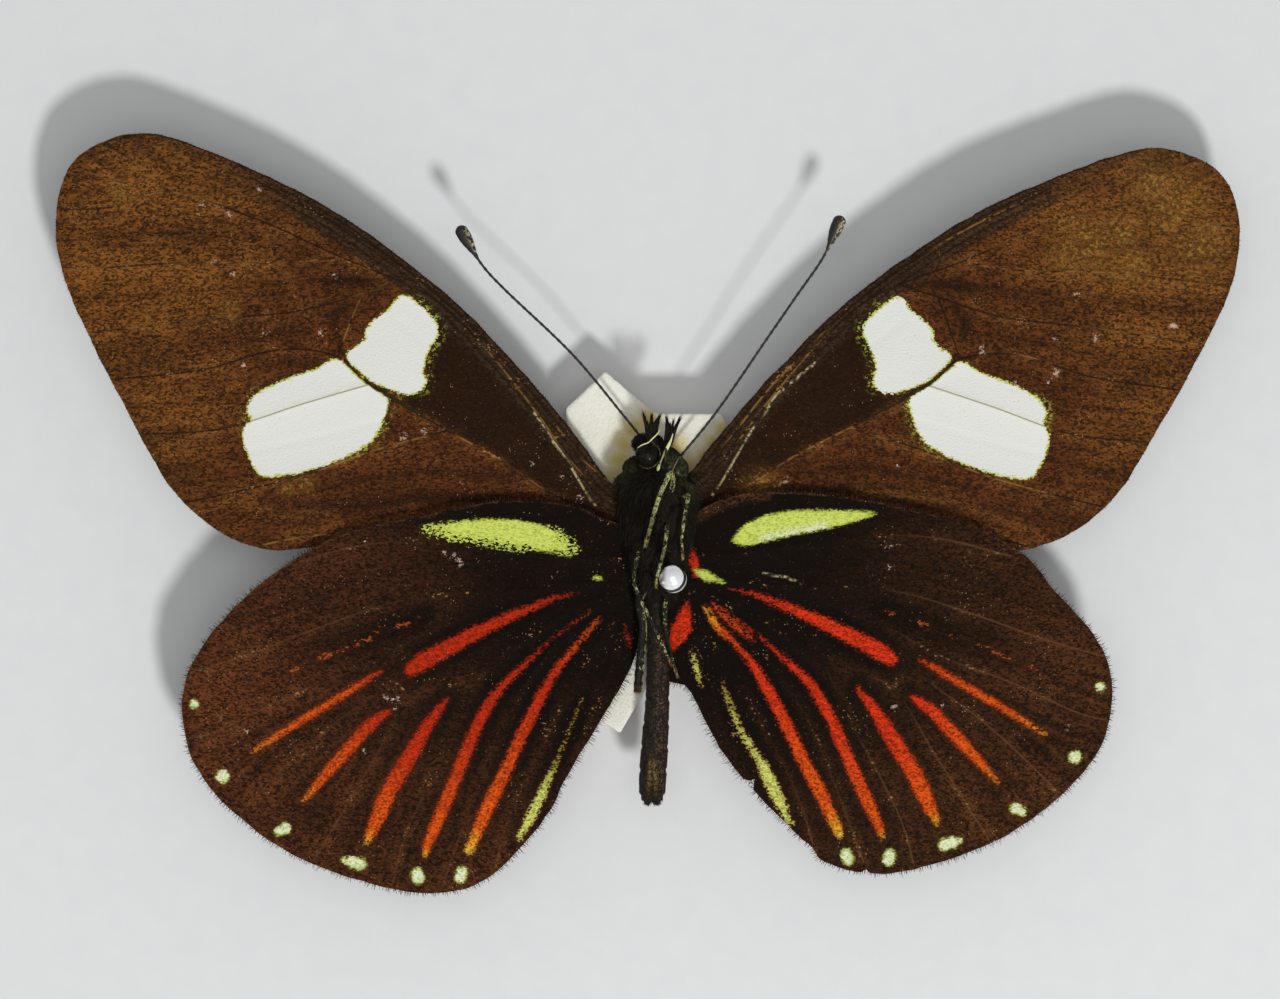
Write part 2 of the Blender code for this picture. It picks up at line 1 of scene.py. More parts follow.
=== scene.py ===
"""Archonias brassolis, a dried and spread butterfly seen from its underside, on its pin in a foam offcut.

Sizes are in millimetres until a mesh is finished, and then MM turns them into metres. The frame is
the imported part's own: +Z is up, which is the belly's side, and the head is towards +Y. Left and right
are the animal's own, so its right wings lie towards -X.
"""

import math

import bmesh
import bpy
import numpy as np
from mathutils import Matrix, Vector, noise
from mathutils.geometry import delaunay_2d_cdt


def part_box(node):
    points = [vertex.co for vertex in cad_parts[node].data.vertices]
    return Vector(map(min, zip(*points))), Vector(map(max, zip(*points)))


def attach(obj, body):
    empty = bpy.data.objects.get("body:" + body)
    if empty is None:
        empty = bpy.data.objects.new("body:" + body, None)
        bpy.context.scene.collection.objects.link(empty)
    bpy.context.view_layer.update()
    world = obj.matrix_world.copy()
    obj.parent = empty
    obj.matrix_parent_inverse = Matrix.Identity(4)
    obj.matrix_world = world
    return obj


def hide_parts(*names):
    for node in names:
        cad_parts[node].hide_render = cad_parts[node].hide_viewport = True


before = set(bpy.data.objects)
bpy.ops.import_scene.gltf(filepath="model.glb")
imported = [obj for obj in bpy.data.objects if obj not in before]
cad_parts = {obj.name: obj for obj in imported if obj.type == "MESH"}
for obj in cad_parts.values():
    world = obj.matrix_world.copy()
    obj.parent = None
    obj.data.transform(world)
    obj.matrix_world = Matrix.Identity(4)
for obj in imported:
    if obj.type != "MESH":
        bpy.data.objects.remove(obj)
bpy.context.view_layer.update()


# Studio: a pale table top, a soft lamp to the lower right whose shadows fall up and to the left as in
# the photo, a broad soft box above the camera and a weak room light. The camera looks straight down.
MM = 0.001
PHOTO_WIDTH = 1280
PIXELS_PER_MM = 18.75
VIEW_DISTANCE = 300.0
VIEW_CENTRE = (-1.71, 4.13)
CLIP_START = 10.0
WING_LEVEL = 5.0
TABLE_SIZE = 3000.0
PAPER_FIBRE = 1.5
LAMP_DIRECTION = Vector((1.28, -3.04, 5.0))
LAMP_DISTANCE = 500.0
LAMP_SIZE = 60.0
LAMP_POWER = 1.55
BOX_LEVEL = 520.0
BOX_SIZE = 340.0
BOX_POWER = 0.55
ROOM_LIGHT = 0.36


def colour(red, green, blue):
    """A colour given as it looks on a screen, from 0 to 255, in the linear values of a shader."""
    shares = [value / 255 for value in (red, green, blue)]
    return (*[s / 12.92 if s <= 0.04045 else ((s + 0.055) / 1.055) ** 2.4 for s in shares], 1.0)


def new_finish(name, roughness, specular, others=()):
    """A material and its Principled shader, with constants on the shader's own sockets."""
    material = bpy.data.materials.new(name)
    material.use_nodes = True
    shader = material.node_tree.nodes["Principled BSDF"]
    for socket, value in (("Roughness", roughness), ("Specular IOR Level", specular), *others):
        shader.inputs[socket].default_value = value
    return material, shader


def add_node(shader, kind, sockets, **settings):
    """A node in the shader's tree. Each socket takes a constant or another node's output."""
    tree = shader.id_data
    made = tree.nodes.new("ShaderNode" + kind)
    for setting, value in settings.items():
        setattr(made, setting, value)
    for socket, value in sockets.items():
        if isinstance(value, bpy.types.NodeSocket):
            tree.links.new(value, made.inputs[socket])
        else:
            made.inputs[socket].default_value = value
    return made


def mixed(shader, share, first, second):
    """The first colour where share is 0, and the second where it is 1."""
    return add_node(shader, "Mix", {0: share, 6: first, 7: second}, data_type="RGBA").outputs[2]


def place_of(shader, turn=0.0, stretch=(1.0, 1.0, 1.0)):
    """Object coordinates, turned about Z and stretched, so that a pattern can follow a wing."""
    place = add_node(shader, "TexCoord", {}).outputs["Object"]
    sockets = {"Vector": place, "Rotation": (0.0, 0.0, turn), "Scale": stretch}
    return add_node(shader, "Mapping", sockets).outputs[0]


def clouds(shader, place, size, detail=2.0, rough=0.5):
    """Soft noise whose patches are about size millimetres across."""
    sockets = {"Vector": place, "Scale": 1.0 / (size * MM), "Detail": detail, "Roughness": rough}
    return add_node(shader, "TexNoise", sockets).outputs[0]


def paint_with(shader, tint, socket="Base Color"):
    """Leads a node's output into one of the shader's sockets."""
    shader.id_data.links.new(tint, shader.inputs[socket])


def add_piece(name, mesh, *materials):
    """An object at the origin, in the scene, with its materials."""
    piece = bpy.data.objects.new(name, mesh)
    bpy.context.scene.collection.objects.link(piece)
    for material in materials:
        mesh.materials.append(material)
    return piece


def finished(bm, name, smooth_angle=40.0):
    """A mesh in metres from a bmesh in millimetres, shaded smooth except at its sharp edges."""
    bmesh.ops.scale(bm, vec=(MM, MM, MM), verts=bm.verts)
    mesh = bpy.data.meshes.new(name)
    bm.to_mesh(mesh)
    bm.free()
    mesh.shade_smooth()
    mesh.set_sharp_from_angle(angle=math.radians(smooth_angle))
    return mesh


def lamp_at(name, place, size, power):
    """A round soft lamp that shines at the specimen."""
    light = bpy.data.lights.new(name, "AREA")
    light.shape = "DISK"
    light.size = size * MM
    light.energy = power
    lamp = bpy.data.objects.new(name, light)
    lamp.location = place * MM
    lamp.rotation_euler = place.to_track_quat("Z", "Y").to_euler()
    bpy.context.scene.collection.objects.link(lamp)


scene = bpy.context.scene
scene.view_settings.view_transform = "Standard"
scene.world = bpy.data.worlds.new("room")
scene.world.use_nodes = True
backdrop = scene.world.node_tree.nodes["Background"]
backdrop.inputs["Color"].default_value = (1.0, 1.0, 1.0, 1.0)
backdrop.inputs["Strength"].default_value = ROOM_LIGHT
lamp_at("lamp", LAMP_DIRECTION.normalized() * LAMP_DISTANCE, LAMP_SIZE, LAMP_POWER)
lamp_at("soft_box", Vector((*VIEW_CENTRE, BOX_LEVEL)), BOX_SIZE, BOX_POWER)

lens = bpy.data.cameras.new("camera")
lens.sensor_fit = "HORIZONTAL"
lens.angle = 2 * math.atan(PHOTO_WIDTH / PIXELS_PER_MM / 2 / VIEW_DISTANCE)
lens.clip_start = CLIP_START * MM
camera = bpy.data.objects.new("camera", lens)
camera.location = Vector((*VIEW_CENTRE, WING_LEVEL + VIEW_DISTANCE)) * MM
scene.collection.objects.link(camera)
scene.camera = camera

bm = bmesh.new()
bmesh.ops.create_grid(bm, x_segments=1, y_segments=1, size=TABLE_SIZE / 2)
paper, shader = new_finish("table_paper", 0.9, 0.2)
fibres = clouds(shader, place_of(shader), PAPER_FIBRE, 4.0)
paint_with(shader, mixed(shader, fibres, colour(211, 212, 213), colour(217, 218, 218)))
table = add_piece("table", finished(bm, "table"), paper)


# Foam block: an offcut of pale fine-celled foam, trimmed by hand with a blade. The pin stands in it,
# and it keeps the wings clear of the table. Its faces are cut cells, and its edges are a little worn.
BLOCK_PLAN = (
    (-5.71, 9.01), (-3.57, 11.04), (-0.91, 8.75), (2.67, 8.75), (3.09, 7.84), (2.67, 0.91),
    (-2.77, -8.43), (-4.64, -7.2),
)
BLOCK_WEAR = 0.1
BLOCK_CELL = 0.13
BLOCK_ROUGHNESS = 0.02
PIT_PITCH = 2.6
DENT_PITCH = 0.45
# Painted shade: an ochre tint on the top where the body's shadow falls, along this line of points.
BLOCK_SHADE_LINE = (
    (-3.4, 4.6), (-3.1, 5.5), (-2.9, 6.3), (-2.6, 7.1), (-2.1, 7.9), (-1.3, 8.4), (0.2, 7.0), (0.8, 6.0),
    (1.3, 5.6), (1.8, 6.4), (2.3, 7.1), (2.8, 7.8),
)
SHADE_REACH = 0.72
SHADE_DEPTH = 0.6


def ramp(shader, value, low, high, start=0.0, end=1.0):
    """Goes smoothly from start to end as value goes from low to high."""
    sockets = {"Value": value, "From Min": low, "From Max": high, "To Min": start, "To Max": end}
    return add_node(shader, "MapRange", sockets, interpolation_type="SMOOTHSTEP").outputs[0]


def sums(shader, operation, first, second):
    """The result of a Math node on two numbers or outputs."""
    return add_node(shader, "Math", {0: first, 1: second}, operation=operation).outputs[0]


def stored(shader, name):
    """The number that the piece's points store under a name."""
    return add_node(shader, "Attribute", {}, attribute_name=name).outputs["Fac"]


def grains(shader, place, size):
    """Cells about size millimetres across: a random number for each, and the distance to its middle."""
    made = add_node(shader, "TexVoronoi", {"Vector": place, "Scale": 1.0 / (size * MM)})
    shade = add_node(shader, "SeparateColor", {0: made.outputs["Color"]})
    return shade.outputs[0], made.outputs["Distance"]


def raise_by(shader, height, depth, strength=1.0):
    """Gives the shader a relief of depth millimetres."""
    sockets = {"Height": height, "Distance": depth * MM, "Strength": strength}
    bump = add_node(shader, "Bump", sockets).outputs[0]
    shader.id_data.links.new(bump, shader.inputs["Normal"])


def remeshed(piece, cell):
    """Covers all the shapes of a piece with one skin of small even faces."""
    skin = piece.modifiers.new("skin", "REMESH")
    skin.mode = "VOXEL"
    skin.voxel_size = cell * MM
    skin.use_smooth_shade = True


def applied(piece):
    """The piece's mesh with its modifiers worked into it."""
    graph = bpy.context.evaluated_depsgraph_get()
    mesh = bpy.data.meshes.new_from_object(piece.evaluated_get(graph))
    piece.modifiers.clear()
    piece.data = mesh
    return mesh


block_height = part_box("foam_block")[1].z / MM
bm = bmesh.new()
base = bmesh.ops.contextual_create(bm, geom=[bm.verts.new((x, y, 0.0)) for x, y in BLOCK_PLAN])
raised = bmesh.ops.extrude_face_region(bm, geom=base["faces"])["geom"]
top = [item for item in raised if isinstance(item, bmesh.types.BMVert)]
bmesh.ops.translate(bm, verts=top, vec=(0.0, 0.0, block_height))
bmesh.ops.recalc_face_normals(bm, faces=bm.faces)
bmesh.ops.bevel(
    bm, geom=bm.edges[:], affect="EDGES", offset=BLOCK_WEAR, segments=2, profile=0.5, material=-1
)
block = add_piece("foam_offcut", finished(bm, "foam_offcut"))
remeshed(block, BLOCK_CELL)
mesh = applied(block)
for vert in mesh.vertices:
    place = vert.co / MM
    pit = noise.noise(place * PIT_PITCH) + 0.6 * noise.noise(place * DENT_PITCH)
    place += vert.normal * (BLOCK_ROUGHNESS * (pit - 0.8))
    place.z = min(max(place.z, 0.0), block_height)
    vert.co = place * MM
# How much painted shade each point gets: near that line, and only on the top.
shade_values = mesh.attributes.new("painted_shade", "FLOAT", "POINT").data
for vert in mesh.vertices:
    place = vert.co / MM
    gap = min(math.hypot(place.x - x, place.y - y) for x, y in BLOCK_SHADE_LINE)
    shade_values[vert.index].value = math.exp(-((gap / SHADE_REACH) ** 2)) * (place.z > block_height - SHADE_DEPTH)

foam, shader = new_finish("pale_foam", 0.95, 0.15)
place = place_of(shader)
cell_middle = grains(shader, place, 0.16)[1]
stain = clouds(shader, place, 3.0, 3.0)
pale = mixed(shader, ramp(shader, stain, 0.35, 0.75), colour(229, 228, 214), colour(214, 211, 188))
pale = mixed(shader, ramp(shader, cell_middle, 0.1, 0.8), pale, colour(230, 230, 220))
# The painted shade, ochre, broken up by the stain's clouds.
painted_shade = stored(shader, "painted_shade")
painted_shade = sums(shader, "MULTIPLY", painted_shade, ramp(shader, stain, 0.2, 0.7, 0.5, 1.0))
paint_with(shader, mixed(shader, painted_shade, pale, colour(194, 168, 66)))
raise_by(shader, cell_middle, 0.03)
mesh.materials.append(foam)
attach(block, "root")
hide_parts("foam_block")


# Pin: drawn steel wire with a round, polished head, pushed through the thorax into the foam. The
# head was cold-formed in a die and is a little flat on top, with a faint seam where the die met.
PIN_RADIUS = 0.24
PIN_FOOT = 1.0
PIN_POINT = 0.9
PIN_RINGS = (9.0, 5.0)
PIN_HEAD_RADIUS = 0.73
PIN_HEAD_LEVEL = 13.0
PIN_HEAD_FLAT = 0.94
PIN_STEPS = 24
SEAM_DEPTH = 0.012
SEAM_WIDTH = 0.05
# A painted reflection, a dark ring near the head's edge: its middle, and four radii from start to end.
REFLECTION_CENTRE = (-0.1, 0.09)
REFLECTION_RING = (0.62, 0.67, 0.77, 0.8)

profile = [(0.0, PIN_HEAD_LEVEL + PIN_HEAD_RADIUS * PIN_HEAD_FLAT)]
neck = math.pi - math.asin(PIN_RADIUS / PIN_HEAD_RADIUS)
for i in range(1, PIN_STEPS + 1):
    angle = neck * i / PIN_STEPS
    seam = 1.0 - SEAM_DEPTH * math.exp(-(((angle - math.pi / 2) / SEAM_WIDTH) ** 2))
    rise = math.cos(angle) * (PIN_HEAD_FLAT if angle < math.pi / 2 else 1.0)
    profile.append((PIN_HEAD_RADIUS * seam * math.sin(angle), PIN_HEAD_LEVEL + PIN_HEAD_RADIUS * rise))
profile += [(PIN_RADIUS, level) for level in (*PIN_RINGS, PIN_FOOT + PIN_POINT)]
profile.append((0.0, PIN_FOOT))
bm = bmesh.new()
chain = [bm.verts.new((x, 0.0, z)) for x, z in profile]
for pair in zip(chain, chain[1:]):
    bm.edges.new(pair)
bmesh.ops.spin(
    bm, geom=bm.verts[:] + bm.edges[:], cent=(0, 0, 0), axis=(0, 0, 1), angle=math.tau, steps=64,
    use_merge=True,
)
bmesh.ops.remove_doubles(bm, verts=bm.verts, dist=0.001)
bmesh.ops.recalc_face_normals(bm, faces=bm.faces)
steel, shader = new_finish("pin_steel", 0.2, 0.5, [("Metallic", 0.45)])
scratches = clouds(shader, place_of(shader, 0.0, (1.0, 1.0, 0.15)), 0.12, 3.0)
# Painted reflections of the dark surroundings: a ring near the head's edge, and mottles on its left side.
flat_place = place_of(shader, 0.0, (1.0, 1.0, 0.0))
off_centre = {0: flat_place, 1: (REFLECTION_CENTRE[0] * MM, REFLECTION_CENTRE[1] * MM, 0.0)}
off_centre = add_node(shader, "VectorMath", off_centre, operation="DISTANCE").outputs["Value"]
inner, full, fading, outer = (radius * MM for radius in REFLECTION_RING)
dark_reflection = ramp(shader, off_centre, fading, outer, 1.0, 0.0)
dark_reflection = sums(shader, "MULTIPLY", ramp(shader, off_centre, inner, full), dark_reflection)
sideways = add_node(shader, "SeparateXYZ", {0: flat_place}).outputs[0]
# The mottles on the left side, part of the painted reflection.
spotted = sums(
    shader, "MULTIPLY", ramp(shader, sideways, -0.6 * MM, -0.25 * MM, 1.0, 0.0),
    ramp(shader, clouds(shader, place_of(shader), 0.3, 3.0, 0.7), 0.38, 0.52),
)
dark_reflection = sums(shader, "MAXIMUM", dark_reflection, sums(shader, "MULTIPLY", spotted, 0.8))
paint_with(shader, mixed(shader, dark_reflection, colour(248, 248, 251), colour(26, 30, 34)))
paint_with(shader, ramp(shader, scratches, 0.3, 0.8, 0.16, 0.28), "Roughness")
raise_by(shader, scratches, 0.004)
pin = add_piece("insect_pin", finished(bm, "insect_pin"), steel)
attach(pin, "root")
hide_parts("pin")


# Wings: four membranes of two thin skins held up by hollow veins, dried flat after spreading. Scales
# cover both faces like roof tiles and carry all the colour. Each wing is one triangulated sheet, so
# that its edges run along the veins, and is then given its thickness.
MEMBRANE = 0.07
VEIN_RISE = 0.06
VEIN_WIDTH = 0.1
SAG = 0.06
FOLD_DEPTH = 0.035
RIM_STEP = 0.22
OPEN_STEP = 0.21
WING_REACH = 33.0
CAMBER = 0.35
BODY_X = -0.75
WING_ROOT = (-0.75, 3.0)
FOREWING_LEVEL = 5.05
HINDWING_LEVEL = 5.78
SCALE_STRETCH = (0.6, 1.0, 1.0)
EDGE_WEAR = 0.05
TEAR_WIDTH = 0.17
SAG_WIDTH = 0.7
FOLD_WIDTH = 0.16
ROW_SHARE = 0.866
# A wave's height, its pitch along X and along Y, and where it starts.
WAVES = ((0.05, 0.47, 0.31, 0.0), (0.04, 0.0, 0.83, -1.0))
FAR = 9.0

FOREWING_OUTLINE = (
    (-1.5, 4.2), (-3.2, 4.95), (-5.0, 7.35), (-8.0, 10.95), (-12.0, 15.05), (-17.7, 19.3),
    (-23.0, 22.0), (-27.4, 23.57), (-30.2, 23.25), (-32.1, 21.9), (-32.85, 19.2), (-32.4, 16.0),
    (-30.9, 12.5), (-28.9, 8.6), (-26.9, 5.05), (-24.6, 2.75), (-21.8, 1.5), (-19.0, 1.6),
    (-12.0, 2.0), (-4.0, 2.4), (-1.5, 2.7),
)
FOREWING_VEINS = (
    ((-2.0, 4.1), (-4.9, 6.4), (-7.9, 10.3), (-12.2, 14.75), (-17.0, 18.3), (-22.5, 21.3)),
    ((-2.6, 3.9), (-4.9, 5.6), (-7.4, 9.0), (-10.05, 12.3), (-13.0, 15.0), (-18.0, 17.2),
     (-22.1, 19.05), (-26.7, 20.5), (-30.0, 19.7), (-32.8, 19.6)),
    ((-26.7, 20.5), (-29.0, 22.35), (-30.4, 23.2)),
    ((-18.0, 17.0), (-21.0, 16.7), (-26.0, 16.75), (-32.45, 16.3)),
    ((-14.4, 15.7), (-16.5, 15.1), (-20.0, 14.15), (-25.0, 13.7), (-31.1, 13.0)),
    ((-16.5, 15.1), (-17.2, 13.4), (-17.8, 11.75)),
    ((-2.6, 3.4), (-5.95, 4.2), (-9.0, 6.15), (-11.95, 7.8), (-16.15, 10.25), (-17.8, 11.75),
     (-21.0, 12.1), (-25.0, 11.05), (-29.95, 10.5)),
    ((-16.15, 10.25), (-19.75, 9.2), (-24.0, 7.9), (-28.35, 7.6)),
    ((-11.95, 7.8), (-16.0, 6.7), (-20.0, 5.3), (-26.0, 3.95)),
    ((-3.4, 3.0), (-8.0, 3.1), (-14.0, 2.75), (-19.5, 2.15), (-22.3, 1.6)),
)
FOREWING_FOLDS = (
    ((-22.0, 18.0), (-27.0, 18.3), (-32.7, 17.9)),
    ((-19.0, 15.8), (-25.0, 15.25), (-31.6, 14.8)),
    ((-19.6, 13.2), (-25.0, 12.35), (-30.4, 11.8)),
    ((-20.5, 10.4), (-24.5, 9.5), (-29.1, 9.0)),
    ((-15.5, 8.3), (-20.0, 7.2), (-27.4, 5.7)),
    ((-5.0, 3.6), (-9.0, 4.3), (-14.0, 4.6), (-19.0, 3.9), (-24.6, 2.9)),
    ((-6.5, 6.8), (-10.5, 10.3), (-14.5, 13.6)),
)
HINDWING_OUTLINE = (
    (-1.2, 2.0), (-3.6, 3.1), (-6.0, 3.95), (-9.5, 4.02), (-13.0, 3.3), (-17.0, 2.45), (-20.0, 1.0),
    (-23.0, -1.35), (-25.2, -4.0), (-26.05, -6.6), (-25.5, -9.7), (-23.6, -12.2), (-20.5, -14.55),
    (-17.0, -16.0), (-13.0, -16.8), (-10.0, -16.1),
)
HINDWING_INNER_RIGHT = (
    (-7.5, -13.75), (-6.2, -11.9), (-5.65, -10.65), (-3.8, -7.6), (-2.2, -4.8), (-1.5, -2.4), (-1.2, 0.0),
)
HINDWING_COSTA_LEFT = (
    (1.5, 3.55), (2.9, 4.2), (4.6, 4.5), (7.6, 4.45), (10.5, 4.05), (13.9, 3.3), (16.5, 2.5), (18.8, 1.1),
)
HINDWING_INNER_LEFT = (
    (7.45, -14.35), (6.5, -13.55), (4.3, -11.3), (3.8, -10.75), (2.5, -9.0), (1.2, -6.5), (0.62, -5.75),
    (0.2, -5.65), (-0.3, -5.2), (-0.5, -2.4), (-0.4, 0.0),
)
HINDWING_VEINS = (
    ((-2.8, 1.0), (-5.0, 1.05), (-9.0, 1.5), (-13.0, 1.85), (-16.5, 1.7), (-20.6, 0.6)),
    ((-2.9, -0.4), (-5.0, -0.4), (-9.0, -0.8), (-14.0, -1.15), (-18.3, -2.5), (-22.5, -4.1),
     (-25.8, -5.1)),
    ((-11.5, -0.95), (-13.6, -2.9), (-16.5, -4.8), (-20.3, -6.3), (-24.0, -8.1), (-25.8, -8.6)),
    ((-13.6, -2.9), (-14.9, -5.3), (-18.5, -8.2), (-20.5, -10.0), (-23.1, -12.7)),
    ((-2.8, -1.0), (-4.8, -1.45), (-7.5, -3.1), (-11.0, -5.4), (-13.9, -6.5), (-16.2, -10.3),
     (-19.2, -15.3)),
    ((-14.9, -5.3), (-13.9, -6.5)),
    ((-10.1, -4.85), (-11.3, -7.8), (-14.0, -13.3), (-14.9, -16.5)),
    ((-4.8, -1.45), (-7.0, -4.6), (-9.5, -8.9), (-12.3, -16.7)),
    ((-2.9, -1.9), (-5.3, -5.7), (-8.2, -11.5), (-9.5, -15.7)),
    ((-2.6, -2.6), (-4.2, -7.1), (-5.9, -10.2)),
)
HINDWING_FOLDS = (
    ((-10.0, 0.5), (-15.0, 0.3), (-23.4, -2.2)),
    ((-6.0, 3.2), (-10.0, 3.5), (-15.0, 2.6)),
    ((-3.5, -3.9), (-5.2, -7.8), (-7.3, -12.4)),
)
# The left wings are the right ones mirrored: the turn in degrees, the size and the shift.
LEFT_FOREWING = (-2.05, 0.976, (-2.457, 0.762))
LEFT_HINDWING = (1.37, 0.962, (-1.832, 0.078))
# Small tears in the left hindwing's edge: where, and how deep.
HINDWING_TEARS = ((4.1, -11.05, 0.5), (10.3, -15.75, 0.22))


def smooth_path(points, step, closed=False):
    """Rows about one step apart on a smooth curve through the given rows of numbers."""
    known = np.array(points, float)
    last = len(known) - 1
    path = []
    for i in range(last + 1 if closed else last):
        numbers = [(i + k) % (last + 1) if closed else min(max(i + k, 0), last) for k in (-1, 0, 1, 2)]
        before, start, end, after = known[numbers]
        t = np.arange(0.0, 1.0, 1.0 / max(1, round(np.linalg.norm((end - start)[:2]) / step)))[:, None]
        path.append(
            start + (end - before) * (t / 2) + (2 * before - 5 * start + 4 * end - after) * (t * t / 2)
            + (3 * start - before - 3 * end + after) * (t ** 3 / 2)
        )
    return np.vstack(path if closed else [*path, known[last:]])


def nearest_on(points, line):
    """The distance from each point to a line of rows, and the line's row at the nearest place."""
    rows = np.array(line, np.float32)
    start, span = rows[:-1, :2], rows[1:, :2] - rows[:-1, :2]
    away = points[:, None, :].astype(np.float32) - start[None]
    t = np.clip((away * span).sum(2) / np.maximum((span ** 2).sum(1), 1e-9), 0.0, 1.0)
    gap = np.linalg.norm(away - t[..., None] * span, axis=2)
    best = gap.argmin(1)
    share = t[np.arange(len(points)), best][:, None]
    return gap.min(1), rows[best] * (1 - share) + rows[best + 1] * share


def least_gap(points, lines):
    """The distance from each point to the nearest of several lines."""
    return np.min([nearest_on(points, line)[0] for line in lines], axis=0)


def unit(rows):
    """Rows of directions, each made 1 long."""
    return rows / np.linalg.norm(rows, axis=1)[:, None]


def across(ahead):
    """The way to the right of each row of flat directions."""
    return np.column_stack([ahead[:, 1], -ahead[:, 0]]) / np.linalg.norm(ahead, axis=1)[:, None]


def depth_in(points, ring):
    """How far inside a closed ring each point lies, and below 0 outside it."""
    gap = nearest_on(points, np.vstack([ring, ring[:1]]))[0]
    a, b = ring, np.roll(ring, -1, axis=0)
    x, y = points[:, :1], points[:, 1:2]
    crossed = (a[:, 1] > y) != (b[:, 1] > y)
    rise = np.where(b[:, 1] == a[:, 1], 1.0, b[:, 1] - a[:, 1])
    left_of = x < a[:, 0] + (y - a[:, 1]) / rise * (b[:, 0] - a[:, 0])
    return np.where((crossed & left_of).sum(1) % 2 == 1, gap, -gap)


def on_left(rows, placing):
    """Rows of the right wing mirrored to the left side, turned, sized and shifted."""
    degrees, size, shift = placing
    turn = math.radians(degrees)
    rows = np.array(rows, float)
    x, y = -rows[:, 0], rows[:, 1]
    placed = rows.copy()
    placed[:, 0] = (x * math.cos(turn) - y * math.sin(turn)) * size + shift[0]
    placed[:, 1] = (x * math.sin(turn) + y * math.cos(turn)) * size + shift[1]
    return placed


def wing_ring(outline, seed, tears=()):
    """The wing's edge, with the small unevenness of a real one, and its tears."""
    ring = smooth_path(outline, RIM_STEP, closed=True)
    for i, (x, y) in enumerate(ring):
        broad = noise.noise(Vector((x * 0.9, y * 0.9, seed)))
        fine = noise.noise(Vector((x * 3, y * 3, seed)))
        ahead = ring[(i + 1) % len(ring)] - ring[i - 1]
        facing = np.array((ahead[1], -ahead[0])) / np.linalg.norm(ahead)
        ring[i] += facing * EDGE_WEAR * (broad + 0.6 * fine)
    inward = unit(ring.mean(0) - ring)
    for x, y, depth in tears:
        gap = np.linalg.norm(ring - (x, y), axis=1)
        ring += inward * (depth * np.exp(-((gap / TEAR_WIDTH) ** 2)))[:, None]
    return ring


def sheet_level(place, veins, folds, level):
    """The height of a wing's middle: it arches and waves, sags between veins and creases at folds."""
    x, y = place.T
    out = np.abs(x - BODY_X) / WING_REACH
    gap = least_gap(place, veins)
    crease = least_gap(place, folds)
    waves = sum(height * np.sin(x * by_x + y * by_y + start) for height, by_x, by_y, start in WAVES)
    return (
        level + CAMBER * np.sin(math.pi * np.minimum(out, 1.0)) + waves * np.minimum(1.0, out * 4)
        - SAG * (1 - np.exp(-((gap / SAG_WIDTH) ** 2)))
        - FOLD_DEPTH * np.exp(-((crease / FOLD_WIDTH) ** 2))
    )


def wing_sheet(name, ring, veins, folds, level):
    """One wing's closed sheet, with its underside's and upper side's faces told apart."""
    crests = [smooth_path(vein, OPEN_STEP * 1.6) for vein in veins]
    crests = [crest[depth_in(crest, ring) > 0.12] for crest in crests]
    flanks = []
    for crest in crests:
        side = across(np.gradient(crest, axis=0))
        flanks += [crest + side * VEIN_WIDTH, crest - side * VEIN_WIDTH]
    flanks = np.vstack(flanks)
    low, high = ring.min(0), ring.max(0)
    columns, rows = ((high - low) / (OPEN_STEP, OPEN_STEP * ROW_SHARE)).astype(int)
    column, row = np.meshgrid(np.arange(columns), np.arange(rows))
    grid = np.column_stack([
        low[0] + (column + 0.5 * (row % 2)).ravel() * OPEN_STEP,
        low[1] + row.ravel() * OPEN_STEP * ROW_SHARE,
    ])
    flanks = flanks[(depth_in(flanks, ring) > 0.1) & (least_gap(flanks, crests) > VEIN_WIDTH * 0.8)]
    grid = grid[(depth_in(grid, ring) > OPEN_STEP * 0.6) & (least_gap(grid, crests) > VEIN_WIDTH * 1.9)]
    points = np.vstack([ring, *crests, flanks, grid])
    edges = [(i, (i + 1) % len(ring)) for i in range(len(ring))]
    start = len(ring)
    for crest in crests:
        edges += [(i, i + 1) for i in range(start, start + len(crest) - 1)]
        start += len(crest)
    flat, _, faces, _, _, _ = delaunay_2d_cdt(
        [Vector(point) for point in points], edges, [list(range(len(ring)))], 1, 1e-4
    )
    bm = bmesh.new()
    verts = [bm.verts.new((point.x, point.y, 0.0)) for point in flat]
    for face in faces:
        bm.faces.new([verts[i] for i in face])
    bmesh.ops.recalc_face_normals(bm, faces=bm.faces)
    if bm.faces[:][0].normal.z < 0:
        bmesh.ops.reverse_faces(bm, faces=bm.faces)
    bmesh.ops.solidify(bm, geom=bm.faces[:], thickness=MEMBRANE)
    co = np.array([vert.co for vert in bm.verts])
    above = np.where(co[:, 2] > co[:, 2].mean(), 1.0, -1.0)
    place, back = np.unique(co[:, :2].round(4), axis=0, return_inverse=True)
    thinning = 1.25 - 0.8 * np.minimum(np.abs(place[:, 0] - BODY_X) / WING_REACH, 1.0)
    rise = VEIN_RISE * np.exp(-((least_gap(place, veins) / VEIN_WIDTH) ** 2)) * thinning
    middle = sheet_level(place, veins, folds, level)
    back = back.ravel()
    height = middle[back] + above * (MEMBRANE / 2 + rise[back])
    for vert, z in zip(bm.verts, height):
        vert.co.z = z
    bm.normal_update()
    for face in bm.faces:
        face.material_index = 0 if face.normal.z > 0.3 else 1
    return finished(bm, name, 60.0)


def store(mesh, name, values):
    """Stores a number under a name at each of a mesh's points."""
    mesh.attributes.new(name, "FLOAT", "POINT").data.foreach_set("value", values.astype(np.float32))


